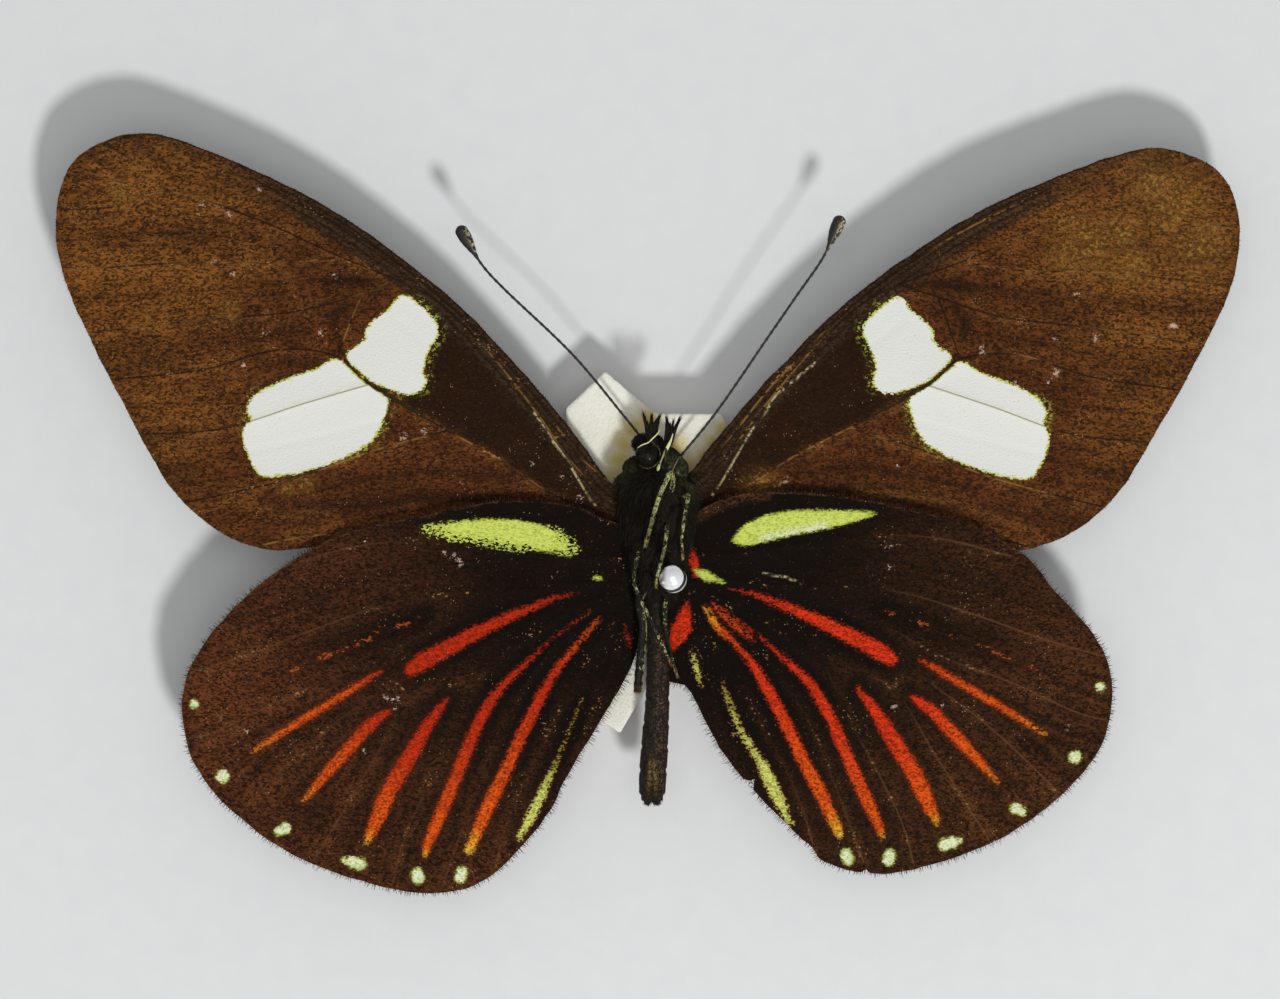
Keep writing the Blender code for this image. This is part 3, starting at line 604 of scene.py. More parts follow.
# Markings: lines and rings on the underside of the right wings, and what only one side shows. Rows
# of three are x, y and a radius or half a width. A stripe's rows also give its hue, from 0, red,
# through orange to 1, yellow.
FOREWING_PATCHES = (
    ((-14.5, 15.05), (-13.9, 14.9), (-13.1, 14.2), (-12.5, 13.5), (-12.4, 13.0), (-12.8, 12.3),
     (-13.1, 11.6), (-13.25, 11.0), (-13.05, 10.4), (-13.45, 9.85), (-14.2, 9.7), (-14.9, 9.95),
     (-15.8, 10.27), (-16.4, 10.7), (-17.4, 11.8), (-16.85, 12.3), (-16.35, 12.75), (-16.35, 13.25),
     (-15.6, 13.95), (-15.05, 14.4)),
    ((-16.3, 10.35), (-17.0, 11.0), (-17.9, 11.65), (-19.0, 11.1), (-21.0, 10.4), (-22.2, 9.75),
     (-22.7, 9.0), (-22.5, 8.35), (-22.9, 7.8), (-22.75, 6.8), (-22.2, 5.65), (-21.6, 5.3),
     (-20.0, 5.5), (-18.0, 6.1), (-16.4, 6.9), (-15.7, 7.6), (-15.2, 8.8), (-15.15, 9.6), (-15.7, 9.95)),
)
FOREWING_CUTS = (
    ((-17.4, 11.4, 0.02), (-16.2, 10.35, 0.05), (-15.3, 9.85, 0.12), (-14.3, 9.2, 0.08), (-12.4, 8.0, 0.0)),
)
FOREWING_CELL = (
    (-2.2, 3.2), (-3.9, 5.0), (-5.6, 7.0), (-7.8, 9.7), (-10.3, 12.5), (-12.6, 14.4), (-12.9, 12.3),
    (-13.2, 10.2), (-14.4, 9.3), (-12.0, 7.9), (-9.0, 6.2), (-5.95, 4.2),
)
FOREWING_DUSK = (
    ((-15.6, 15.7, 0.15), (-17.6, 15.8, 0.3), (-18.4, 15.6, 0.1)),
    ((-17.2, 14.6, 0.1), (-18.0, 13.9, 0.25), (-17.8, 12.6, 0.1)),
    ((-4.0, 3.2, 0.5), (-8.0, 3.9, 0.35), (-12.5, 4.2, 0.25), (-17.0, 3.75, 0.22), (-21.0, 3.3, 0.08)),
    ((-19.0, 4.7, 0.02), (-13.0, 5.6, 0.12), (-9.0, 5.2, 0.05)),
)
FOREWING_GOLDEN_VEINS = (
    ((-3.1, 4.55), (-5.0, 6.0), (-7.5, 9.15), (-10.0, 12.2)), ((-28.5, 20.2), (-32.6, 19.6)),
    ((-24.0, 14.0), (-30.8, 13.0)), ((-21.0, 16.8), (-17.8, 16.9)),
)
FOREWING_FUZZY = (
    ((-13.4, 14.6), (-12.3, 13.5), (-12.5, 12.4), (-12.9, 11.2), (-13.0, 10.2)),
    ((-15.0, 9.2), (-15.6, 7.7), (-16.6, 6.8)),
    ((-22.5, 9.6), (-22.9, 8.6)),
)
FOREWING_GLOW = (((-11.0, 3.4), (-16.0, 2.75), (-20.5, 2.3)),)
FOREWING_GLOW_RIGHT = (((-24.0, 4.2), (-21.0, 3.3), (-18.0, 3.4)),)
FOREWING_GLOW_LEFT = (((10.0, 4.6), (15.0, 4.0), (18.5, 2.8), (20.5, 1.6)),)
# Fine bright lines, each on one side only.
FOREWING_GLEAM_RIGHT = (((-4.1, 3.8), (-5.4, 5.9), (-6.6, 7.6), (-7.4, 8.8)),)
FOREWING_GLEAM_LEFT = (
    ((2.1, 4.3), (3.0, 5.7), (3.75, 7.1), (4.6, 8.3), (5.6, 9.75), (7.6, 11.4)), ((5.4, 4.8), (6.2, 5.15)),
)
HINDWING_GLEAM_LEFT = (((4.8, 0.18), (5.9, 0.05), (6.9, -0.33)),)
FOREWING_RUBBED_RIGHT = (
    (-26.3, 19.7, 0.25), (-25.0, 19.85, 0.25), (-25.3, 19.35, 0.2), (-24.7, 18.6, 0.18), (-23.6, 19.3, 0.25),
    (-22.0, 20.6, 0.22), (-24.4, 16.8, 0.25), (-23.4, 16.2, 0.22), (-18.7, 13.0, 0.25), (-21.7, 13.0, 0.3),
    (-14.3, 7.5, 0.35), (-13.2, 7.75, 0.3), (-4.9, 4.2, 0.3), (-5.9, 5.4, 0.25), (-7.5, 6.1, 0.22),
    (-8.6, 6.8, 0.2), (-22.8, 11.3, 0.22), (-18.0, 16.1, 0.25),
)
FOREWING_RUBBED_LEFT = (
    (26.7, 13.4, 0.35), (16.5, 12.1, 0.3), (20.4, 10.9, 0.3), (20.0, 10.4, 0.2), (20.4, 12.7, 0.22),
    (22.6, 12.8, 0.3), (21.6, 15.0, 0.25), (18.4, 10.3, 0.25), (6.0, 5.2, 0.25), (12.0, 6.0, 0.15),
)
FOREWING_GILT_LEFT = (
    (22.2, 17.8, 1.3), (24.0, 18.4, 1.0), (21.0, 17.2, 0.8), (26.8, 19.9, 1.7), (28.2, 17.6, 1.5),
    (24.6, 16.6, 1.0), (4.6, 4.9, 0.8), (25.5, 21.0, 1.2),
)
FOREWING_GILT_RIGHT = ((-29.3, 20.6, 0.6), (-19.5, 5.0, 0.5), (-20.5, 4.7, 0.4), (-23.6, 14.2, 0.5))
HINDWING_PATCHES_LEFT = (
    ((3.1, 1.9), (3.45, 1.66), (4.0, 1.66), (5.1, 1.9), (6.8, 2.28), (8.5, 2.62), (9.7, 2.92),
     (10.95, 3.38), (10.5, 3.52), (9.0, 3.58), (7.1, 3.6), (5.75, 3.5), (4.75, 3.24), (3.8, 2.75),
     (3.35, 2.3)),
    ((1.15, 0.45), (1.7, 0.45), (2.3, 0.1), (2.9, -0.35), (2.2, -0.3), (1.5, -0.1)),
)
HINDWING_PATCHES_RIGHT = (
    ((-13.4, 2.6), (-12.0, 2.9), (-10.0, 3.12), (-8.0, 3.0), (-6.3, 2.6), (-5.2, 1.8), (-5.05, 1.45),
     (-5.5, 1.2), (-7.5, 1.45), (-9.5, 1.75), (-11.5, 1.98), (-12.6, 2.3)),
    ((-4.35, -0.1), (-4.1, 0.1), (-3.7, 0.08), (-3.6, -0.1), (-3.9, -0.22)),
)
HINDWING_FUZZY_RIGHT = (((-13.0, 2.3), (-11.5, 2.05), (-9.5, 1.75), (-8.0, 1.5)), ((-6.0, 2.2), (-5.2, 1.5)))
HINDWING_SPOTS = (
    (-25.4, -6.75, 0.28), (-23.9, -10.6, 0.38), (-20.55, -13.35, 0.33), (-20.9, -13.5, 0.28),
    (-17.0, -15.15, 0.36), (-16.6, -15.25, 0.38), (-17.4, -15.05, 0.22), (-13.55, -15.75, 0.36),
    (-13.5, -16.0, 0.36), (-11.15, -15.65, 0.33), (-11.25, -15.95, 0.34),
)
HINDWING_STRIPES = (
    ((-5.0, -0.85, 0.0, 0.0), (-6.2, -1.1, 0.1, 0.0), (-8.0, -1.85, 0.22, 0.0), (-10.0, -2.75, 0.34, 0.0),
     (-12.0, -3.8, 0.42, 0.02), (-13.3, -4.5, 0.45, 0.05), (-13.9, -4.95, 0.34, 0.1)),
    ((-13.2, -2.1, 0.02, 2.0), (-15.0, -2.8, 0.1, 2.0), (-18.0, -4.0, 0.09, 2.0), (-22.0, -5.7, 0.04, 2.0)),
    ((-15.5, -5.0, 0.1, 0.2), (-17.0, -5.95, 0.19, 0.35), (-20.0, -7.8, 0.2, 0.6),
     (-22.3, -9.3, 0.1, 0.85)),
    ((-15.0, -7.1, 0.14, 0.1), (-16.0, -7.8, 0.32, 0.15), (-18.0, -10.0, 0.31, 0.45),
     (-19.6, -11.9, 0.12, 0.85)),
    ((-12.0, -6.5, 0.12, 0.0), (-13.0, -7.9, 0.32, 0.05), (-14.0, -9.6, 0.42, 0.15),
     (-15.0, -11.3, 0.44, 0.3), (-15.6, -12.7, 0.41, 0.5), (-16.1, -13.8, 0.25, 0.8),
     (-16.25, -14.1, 0.12, 1.0)),
    ((-4.4, -1.8, 0.02, 0.3), (-6.5, -3.4, 0.04, 0.1), (-8.2, -5.0, 0.16, 0.0), (-9.2, -6.0, 0.23, 0.0),
     (-10.0, -7.2, 0.29, 0.05), (-10.8, -8.9, 0.32, 0.15), (-11.6, -10.9, 0.35, 0.25),
     (-12.4, -12.8, 0.33, 0.4), (-13.05, -14.3, 0.24, 0.6), (-13.15, -14.75, 0.14, 1.0)),
    ((-3.9, -2.2, 0.08, 0.6), (-5.3, -3.9, 0.15, 0.3), (-6.2, -5.0, 0.22, 0.1), (-7.0, -6.4, 0.29, 0.1),
     (-7.9, -8.2, 0.32, 0.2), (-8.8, -10.2, 0.33, 0.35), (-9.7, -12.0, 0.36, 0.5),
     (-10.4, -13.6, 0.32, 0.75), (-10.8, -14.5, 0.24, 1.05)),
    ((-4.8, -6.5, 0.0, 1.6), (-5.9, -9.2, 0.06, 1.6), (-6.5, -10.6, 0.16, 1.3), (-7.0, -11.7, 0.25, 1.15),
     (-7.5, -12.7, 0.27, 1.15), (-8.15, -13.9, 0.14, 1.15)),
)
HINDWING_STRIPES_RIGHT = (
    ((-2.55, -2.4, -0.05, 0.0), (-2.35, -3.2, 0.09, 0.0), (-2.25, -3.75, 0.02, 0.0)),
)
HINDWING_STRIPES_LEFT = (
    ((0.85, 1.7, 0.08, 0.1), (1.0, 1.2, 0.22, 0.05), (1.2, 0.6, 0.26, 0.0), (1.35, 0.0, 0.12, 0.1)),
    ((0.78, -1.3, 0.06, 0.0), (0.7, -2.0, 0.34, 0.0), (0.52, -2.7, 0.52, 0.0), (0.2, -3.4, 0.34, 0.0),
     (0.0, -3.85, 0.08, 0.05)),
    ((1.7, -1.5, 0.06, 1.0), (2.1, -2.2, 0.19, 0.9), (2.8, -3.1, 0.2, 0.6)),
    ((2.15, -1.45, 0.06, 0.55), (3.2, -2.5, 0.13, 0.4), (4.3, -3.3, 0.12, 0.25)),
    ((1.05, -3.9, 0.08, 1.35), (1.3, -4.9, 0.16, 1.25), (1.55, -5.8, 0.04, 1.4)),
    ((2.6, -5.5, 0.04, 1.5), (2.9, -6.4, 0.09, 1.4), (3.8, -8.4, 0.16, 1.2), (5.1, -10.4, 0.22, 1.15),
     (6.0, -12.3, 0.2, 1.15)),
)
HINDWING_WHITISH_LEFT = (((5.0, 2.0), (6.4, 2.25), (8.0, 2.6)),)
HINDWING_GLOW_RIGHT = (((-24.0, -7.4), (-23.0, -8.3)),)
HINDWING_GLOW_LEFT = (((1.4, 3.2), (2.0, 3.6), (2.9, 4.0), (4.0, 4.3), (5.0, 4.4)),)
HINDWING_RUBBED_RIGHT = (
    (-12.1, 1.3, 0.25), (-11.6, 1.1, 0.3), (-11.3, 0.8, 0.3), (-15.2, -6.4, 0.22), (-14.8, -6.45, 0.25),
    (-14.5, -6.5, 0.22), (-14.65, -6.9, 0.2), (-14.6, -7.3, 0.18), (-16.3, 2.0, 0.25), (-4.0, -2.6, 0.15),
    (-22.6, -8.15, 0.22), (-6.7, -7.9, 0.25), (-16.4, -9.2, 0.18),
)
HINDWING_RUBBED_LEFT = (
    (11.4, 1.65, 0.25), (11.9, 1.75, 0.2), (14.5, -2.2, 0.2), (14.4, -6.8, 0.25), (11.6, 0.5, 0.25),
    (11.8, -6.9, 0.2), (21.0, -8.0, 0.22),
)
# Upper side, which the photo doesn't show: black, with the forewing's white patches and a red band.
HINDWING_BAND = (
    (-3.2, -4.2), (-6.5, -3.2), (-10.0, -3.4), (-14.0, -4.3), (-17.5, -5.8), (-17.2, -7.6), (-13.5, -8.0),
    (-10.0, -7.9), (-7.0, -8.2), (-4.4, -8.0),
)
# How many points of an outline are its front edge, and the first one that the left hindwing keeps.
COSTA_POINTS = 9
COSTA_REST = 7


def best_patch(place, rings, spots=()):
    """How far inside the nearest patch or round spot each place lies."""
    depths = [np.full(len(place), -FAR)]
    depths += [depth_in(place, smooth_path(ring, 0.4, closed=True)) for ring in rings]
    depths += [radius - np.linalg.norm(place - (x, y), axis=1) for x, y, radius in spots]
    return np.max(depths, axis=0)


def wide_line(place, lines):
    """How far inside the nearest line each place lies, and that line's last number there."""
    depth, last = np.full(len(place), -FAR), np.zeros(len(place))
    for line in lines:
        gap, row = nearest_on(place, smooth_path(line, 0.5))
        deeper = row[:, 2] - gap > depth
        depth = np.where(deeper, row[:, 2] - gap, depth)
        last = np.where(deeper, row[:, -1], last)
    return depth, last


def soft_spots(place, spots):
    """1 in the middle of each round spot, falling away to 0."""
    shares = [np.exp(-((np.linalg.norm(place - (x, y), axis=1) / r) ** 2)) for x, y, r in spots]
    return np.max([np.zeros(len(place)), *shares], axis=0)


def soft_lines(place, lines, reach):
    """1 on each line, falling away to 0."""
    shares = [np.exp(-((nearest_on(place, line)[0] / reach) ** 2)) for line in lines]
    return np.max([np.zeros(len(place)), *shares], axis=0)


def mark_wing(mesh, ring, veins, folds, marks):
    """Stores, for each point, the distances and shares that the scales' colours are mixed from."""
    every = np.array([vert.co.xy for vert in mesh.vertices]) / MM
    place, back = np.unique(every.round(4), axis=0, return_inverse=True)
    back = back.ravel()

    def given(kind):
        """The marks of one kind, or none."""
        return marks.get(kind, ())

    stripe, hue = wide_line(place, given("stripes"))
    spotted = best_patch(place, (), given("spots")) > -0.3
    cell = best_patch(place, given("cell"))
    values = {
        "vein": least_gap(place, veins),
        "fold": least_gap(place, folds),
        "rim": depth_in(place, ring),
        "costa": least_gap(place, [marks["costa"]]),
        "root": np.linalg.norm(place - WING_ROOT, axis=1),
        "bearing": 6.0 * np.arctan2(place[:, 1] - WING_ROOT[1], np.abs(place[:, 0] - WING_ROOT[0])),
        "pale": best_patch(place, marks["patches"], given("spots")),
        "tint": np.maximum(spotted, soft_lines(place, given("whitish"), 0.3)),
        "fuzz": soft_lines(place, given("fuzzy"), 0.6),
        "cut": wide_line(place, given("cuts"))[0],
        "dusk": np.maximum(cell, wide_line(place, given("dusk"))[0]),
        "band": best_patch(place, given("band")),
        "stripe": stripe,
        "hue": hue,
        "rubbed": soft_spots(place, given("rubbed")),
        "gilt": soft_spots(place, given("gilt")),
        "golden": soft_lines(place, given("golden"), 0.14),
        "gleam": soft_lines(place, given("gleam"), 0.13),
        "glow": soft_lines(place, given("glow"), 0.35),
    }
    for name, numbers in values.items():
        store(mesh, name, numbers[back])


def wing_underside(name, turn, hind, vein_share, tints):
    """Scales of a wing's underside, with the wing's own grounds and tints of its markings."""
    material, shader = new_finish(name, 0.8, 0.04)
    tints = {key: colour(*tint) for key, tint in tints.items()}
    value = {
        key: stored(shader, key)
        for key in ("vein", "fold", "pale", "tint", "fuzz", "cut", "rim", "costa", "stripe", "hue",
                    "rubbed", "gilt", "glow", "root", "dusk", "golden", "gleam", "bearing")
    }

    def times(first, second):
        """Two shares multiplied."""
        return sums(shader, "MULTIPLY", first, second)

    def plus(first, second):
        """Two numbers added."""
        return sums(shader, "ADD", first, second)

    def larger(first, second):
        """The larger of two shares."""
        return sums(shader, "MAXIMUM", first, second)

    def fade(measure, low, high, start=0.0, end=1.0):
        """The ramp of this shader."""
        return ramp(shader, measure, low, high, start, end)

    def over(share, below, above):
        """One tint laid over another where share is 1."""
        return mixed(shader, share, below, above)

    def near(key, start, end, share):
        """The share close to what the key measures from, falling away to 0."""
        return fade(value[key], start, end, share, 0.0)

    # The patterns: scales, loose dust, clouds of several sizes, and lanes that run along the veins.
    place = place_of(shader, turn, SCALE_STRETCH)
    scale_shade, scale_middle = grains(shader, place, 0.08)
    dust_shade, dust_middle = grains(shader, place_of(shader, 0.7), 0.085)
    fine = clouds(shader, place, 0.1, 2.0, 0.7)
    small = clouds(shader, place, 0.45, 3.0, 0.7)
    flecks = clouds(shader, place_of(shader, turn, (0.8, 1.0, 1.0)), 0.2, 3.0, 0.75)
    patchy = clouds(shader, place, 1.3, 4.0, 0.65)
    broad = clouds(shader, place_of(shader, turn, (0.4, 1.0, 1.0)), 5.0, 2.0)
    lane = {0: times(value["vein"], 2.6), 1: times(value["root"], 0.14), 2: value["bearing"]}
    lane = add_node(shader, "CombineXYZ", lane).outputs[0]
    lanes = {"Vector": lane, "Scale": 1.0, "Detail": 3.0, "Roughness": 0.6}
    lanes = add_node(shader, "TexNoise", lanes).outputs[0]
    ragged = plus(plus(times(scale_shade, 0.12), times(fine, 0.24)), -0.18)
    dither = plus(scale_shade, -0.5)

    # The brown ground: lighter towards the edge and along the veins, darker in folds and at the rim.
    tone = plus(times(lanes, 0.42), plus(times(patchy, 0.23), times(broad, 0.35)))
    wander = plus(value["root"], times(broad, 5.0))
    outer = over(fade(wander, 16.0 if hind else 23.0, 31.0), tints["deep"], tints["light"])
    ground = over(fade(tone, 0.36, 0.62), tints["dark"], outer)
    bank = times(near("vein", 0.1, 0.75, 0.15 if hind else 0.4), fade(patchy, 0.42, 0.6))
    ground = over(bank, ground, tints["gold"])
    ground = over(near("fold", 0.05, 0.5, 0.4), ground, tints["dark"])
    ground = over(near("rim", 0.05, 1.0, 0.35), ground, tints["dark"])
    ground = over(fade(fine, 0.44, 0.66, 0.0, 0.45), ground, outer)

    # The black shade: near the root, round the stripes, and in the forewing's cell.
    start, end, share = (11.0, 20.0, 0.92) if hind else (3.5, 9.0, 0.8)
    near_root = fade(wander, start, end, share, 0.0)
    by_stripe = fade(plus(value["stripe"], times(patchy, 0.9)), -1.1, 0.25)
    by_stripe = times(by_stripe, fade(value["root"], 11.0, 21.0, 1.0, 0.25))
    dusk = fade(plus(value["dusk"], times(plus(small, -0.5), 0.8)), -0.35, 0.35, 0.0, 0.85)
    shade = larger(larger(near_root, by_stripe), dusk)
    ground = over(shade, ground, tints["black"])
    glow = times(fade(value["glow"], 0.1, 1.0, 0.0, 0.4), fade(small, 0.35, 0.6, 0.4, 1.0))
    ground = over(glow, ground, tints["gold"])

    # The front edge: a fine pale line on the hindwing, and a dusty strip with dark lines on the forewing.
    if hind:
        edge_line = times(near("costa", 0.03, 0.16, 0.6), fade(small, 0.4, 0.6))
        ground = over(edge_line, ground, colour(104, 68, 42))
    else:
        strip = times(near("costa", 1.05, 1.6, 0.85), fade(value["root"], 24.0, 31.0, 1.0, 0.25))
        ground = over(strip, ground, colour(60, 46, 32))
        for level in (0.3, 0.6, 0.95, 1.3):
            off = sums(shader, "ABSOLUTE", plus(value["costa"], -level), 0.0)
            ground = over(times(strip, fade(off, 0.02, 0.12, 0.75, 0.0)), ground, tints["black"])
        ground = over(near("costa", 0.04, 0.16, 0.8), ground, colour(30, 21, 15))

    # Single scales, folds and veins.
    ground = over(fade(scale_shade, 0.0, 1.0, 0.0, 0.88), ground, tints["black"])
    ground = over(near("fold", 0.02, 0.1, 0.5), ground, tints["black"])
    ridge = near("vein", 0.015, 0.08, 0.85)
    if hind:
        clear = sums(shader, "SUBTRACT", vein_share, shade)
        ground = over(times(ridge, clear), ground, colour(102, 68, 42))
    else:
        golden = larger(larger(value["golden"], value["gilt"]), fade(broad, 0.53, 0.6))
        golden = times(times(ridge, golden), fade(small, 0.4, 0.55))
        ground = over(ridge, ground, colour(29, 20, 14))
        ground = over(golden, ground, colour(132, 94, 46))
    beside = times(near("vein", 0.05, 0.2, 1.0), fade(scale_shade, 0.9, 0.94))
    ground = over(times(beside, fade(patchy, 0.5, 0.62, 0.0, 0.7)), ground, colour(166, 122, 76))

    # Stripes, from red through orange to yellow and olive by their hue. At 2 a stripe is only dotted.
    dotted = fade(value["hue"], 1.75, 1.95)
    gaps = times(dotted, fade(small, 0.48, 0.56, -0.4, 0.0))
    inside = plus(plus(plus(value["stripe"], ragged), times(dither, 0.12)), gaps)
    ground = over(fade(inside, -0.16, 0.04, 0.0, 0.5), ground, colour(84, 22, 10))
    warm = over(fade(value["hue"], 0.05, 0.5), tints["red"], colour(222, 88, 20))
    warm = over(fade(value["hue"], 0.6, 1.0), warm, colour(236, 168, 44))
    warm = over(fade(value["hue"], 1.0, 1.15), warm, colour(208, 214, 112))
    warm = over(fade(value["hue"], 1.2, 1.55), warm, colour(104, 104, 44))
    speckle = over(fade(value["hue"], 0.9, 1.15), colour(96, 24, 9), colour(120, 110, 40))
    warm = over(fade(scale_shade, 0.2, 1.0, 0.0, 0.75), warm, speckle)
    warm = over(fade(fine, 0.46, 0.64, 0.0, 0.5), warm, speckle)
    warm = over(dotted, warm, colour(144, 72, 32))
    ground = over(fade(inside, -0.03, 0.07), ground, warm)

    # Pale patches and spots, with a greenish rim where pale and dark scales mix.
    core = plus(value["pale"], ragged)
    if hind:
        core = plus(core, times(times(plus(dither, times(plus(fine, -0.5), 1.5)), value["fuzz"]), 0.7))
    else:
        strewn = times(times(value["fuzz"], fade(value["pale"], -0.6, 0.05)), fade(flecks, 0.54, 0.6))
        ground = over(times(strewn, 0.85), ground, tints["rim"])
    patch = over(value["tint"], tints["patch"], tints["spot"])
    pale = over(fade(plus(core, times(plus(small, -0.5), 0.35)), 0.0, 0.14), tints["rim"], patch)
    mottled = fade(fine, 0.42, 0.7, 0.0, 0.75) if hind else fade(scale_shade, 0.7, 1.0, 0.0, 0.05)
    pale = over(mottled, pale, tints["rim"])
    covered = fade(core, -0.06 if hind else -0.02, 0.08 if hind else 0.03)
    ground = over(covered, ground, pale)
    ground = over(times(near("vein", 0.015, 0.065, 0.8), covered), ground, colour(136, 132, 78))
    ground = over(fade(plus(value["cut"], ragged), -0.05, 0.03), ground, colour(42, 34, 20))

    # Age: loose scales as dust, bright hairlines, spots rubbed bare, and a gilt sheen near the tip.
    dusty = fade(dust_middle, 0.25, 0.45, 1.0, 0.0)
    specks = times(fade(dust_shade, 0.94, 0.96), fade(patchy, 0.5, 0.64, 0.1, 0.9))
    ground = over(times(times(specks, dusty), 0.75), ground, colour(186, 146, 112))
    gleam = times(fade(value["gleam"], 0.5, 1.0), fade(flecks, 0.42, 0.54, 0.1, 0.9))
    ground = over(gleam, ground, colour(190, 178, 128))
    worn = fade(plus(times(value["rubbed"], 0.24), flecks), 0.68, 0.76)
    ground = over(times(times(worn, value["rubbed"]), 0.9), ground, colour(200, 172, 152))
    ground = over(times(value["gilt"], 0.25), ground, colour(122, 84, 36))
    gilded = times(value["gilt"], fade(flecks, 0.5, 0.64, 0.0, 0.65))
    ground = over(gilded, ground, colour(160, 126, 54))
    paint_with(shader, ground)
    raise_by(shader, plus(scale_middle, times(fine, 0.8)), 0.02, 0.8)
    return material


def wing_upperside(name, turn):
    """Scales of a wing's upper side: black, with white patches and a red band."""
    material, shader = new_finish(name, 0.7, 0.15)
    place = place_of(shader, turn, SCALE_STRETCH)
    scale_shade, scale_middle = grains(shader, place, 0.075)
    fine = clouds(shader, place, 0.2, 3.0, 0.7)
    ragged = sums(shader, "SUBTRACT", sums(shader, "MULTIPLY", fine, 0.5), 0.26)
    ground = mixed(shader, scale_shade, colour(22, 17, 15), colour(42, 31, 26))
    red = mixed(shader, scale_shade, colour(192, 34, 22), colour(150, 22, 16))
    for key, tint in (("band", red), ("pale", colour(226, 226, 214))):
        inside = sums(shader, "ADD", stored(shader, key), ragged)
        ground = mixed(shader, ramp(shader, inside, 0.0, 0.1), ground, tint)
    ridge = ramp(shader, stored(shader, "vein"), 0.06, 0.16, 0.9, 0.0)
    paint_with(shader, mixed(shader, ridge, ground, colour(20, 15, 14)))
    raise_by(shader, scale_middle, 0.02, 0.9)
    return material


# How far the rows of scales are turned, and each wing's tints as they look on a screen.
FOREWING_TURN = math.radians(30)
HINDWING_TURN = math.radians(-20)
FOREWING_TINTS = {
    "light": (138, 86, 36), "deep": (98, 54, 25), "dark": (68, 38, 18), "black": (28, 18, 11),
    "gold": (142, 92, 40), "rim": (178, 188, 74), "patch": (217, 217, 212), "spot": (217, 217, 212),
    "red": (180, 40, 14),
}
HINDWING_TINTS = {
    "black": (15, 11, 8), "gold": (116, 78, 42), "rim": (132, 142, 46), "patch": (200, 213, 100),
    "spot": (218, 224, 186),
}
HINDWING_SIDE_TINTS = {
    "right": {"light": (108, 60, 32), "deep": (74, 41, 22), "dark": (52, 30, 17), "red": (188, 44, 17)},
    "left": {"light": (96, 57, 29), "deep": (66, 38, 20), "dark": (46, 27, 15), "red": (216, 52, 20)},
}
VEIN_SHARES = {"right": 0.35, "left": 0.6}
rings = {}
sheets = {}


def placed(shapes, placing):
    """Shapes drawn on the right wing, moved over to the left one where a placing is given."""
    return [on_left(shape, placing) if placing else np.array(shape, float) for shape in shapes]


def add_wing(name, ring, veins, folds, level, marks, under, upper):
    """Builds a wing's sheet, marks it and puts it on the frame."""
    veins, folds = ([smooth_path(line, 0.5) for line in lines] for lines in (veins, folds))
    rings[name] = ring
    sheets[name] = (veins, folds, level)
    mesh = wing_sheet(name + "_scales", ring, veins, folds, level)
    mark_wing(mesh, ring, veins, folds, marks)
    wing = add_piece(name + "_scales", mesh, under, upper)
    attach(wing, "root")
    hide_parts(name)


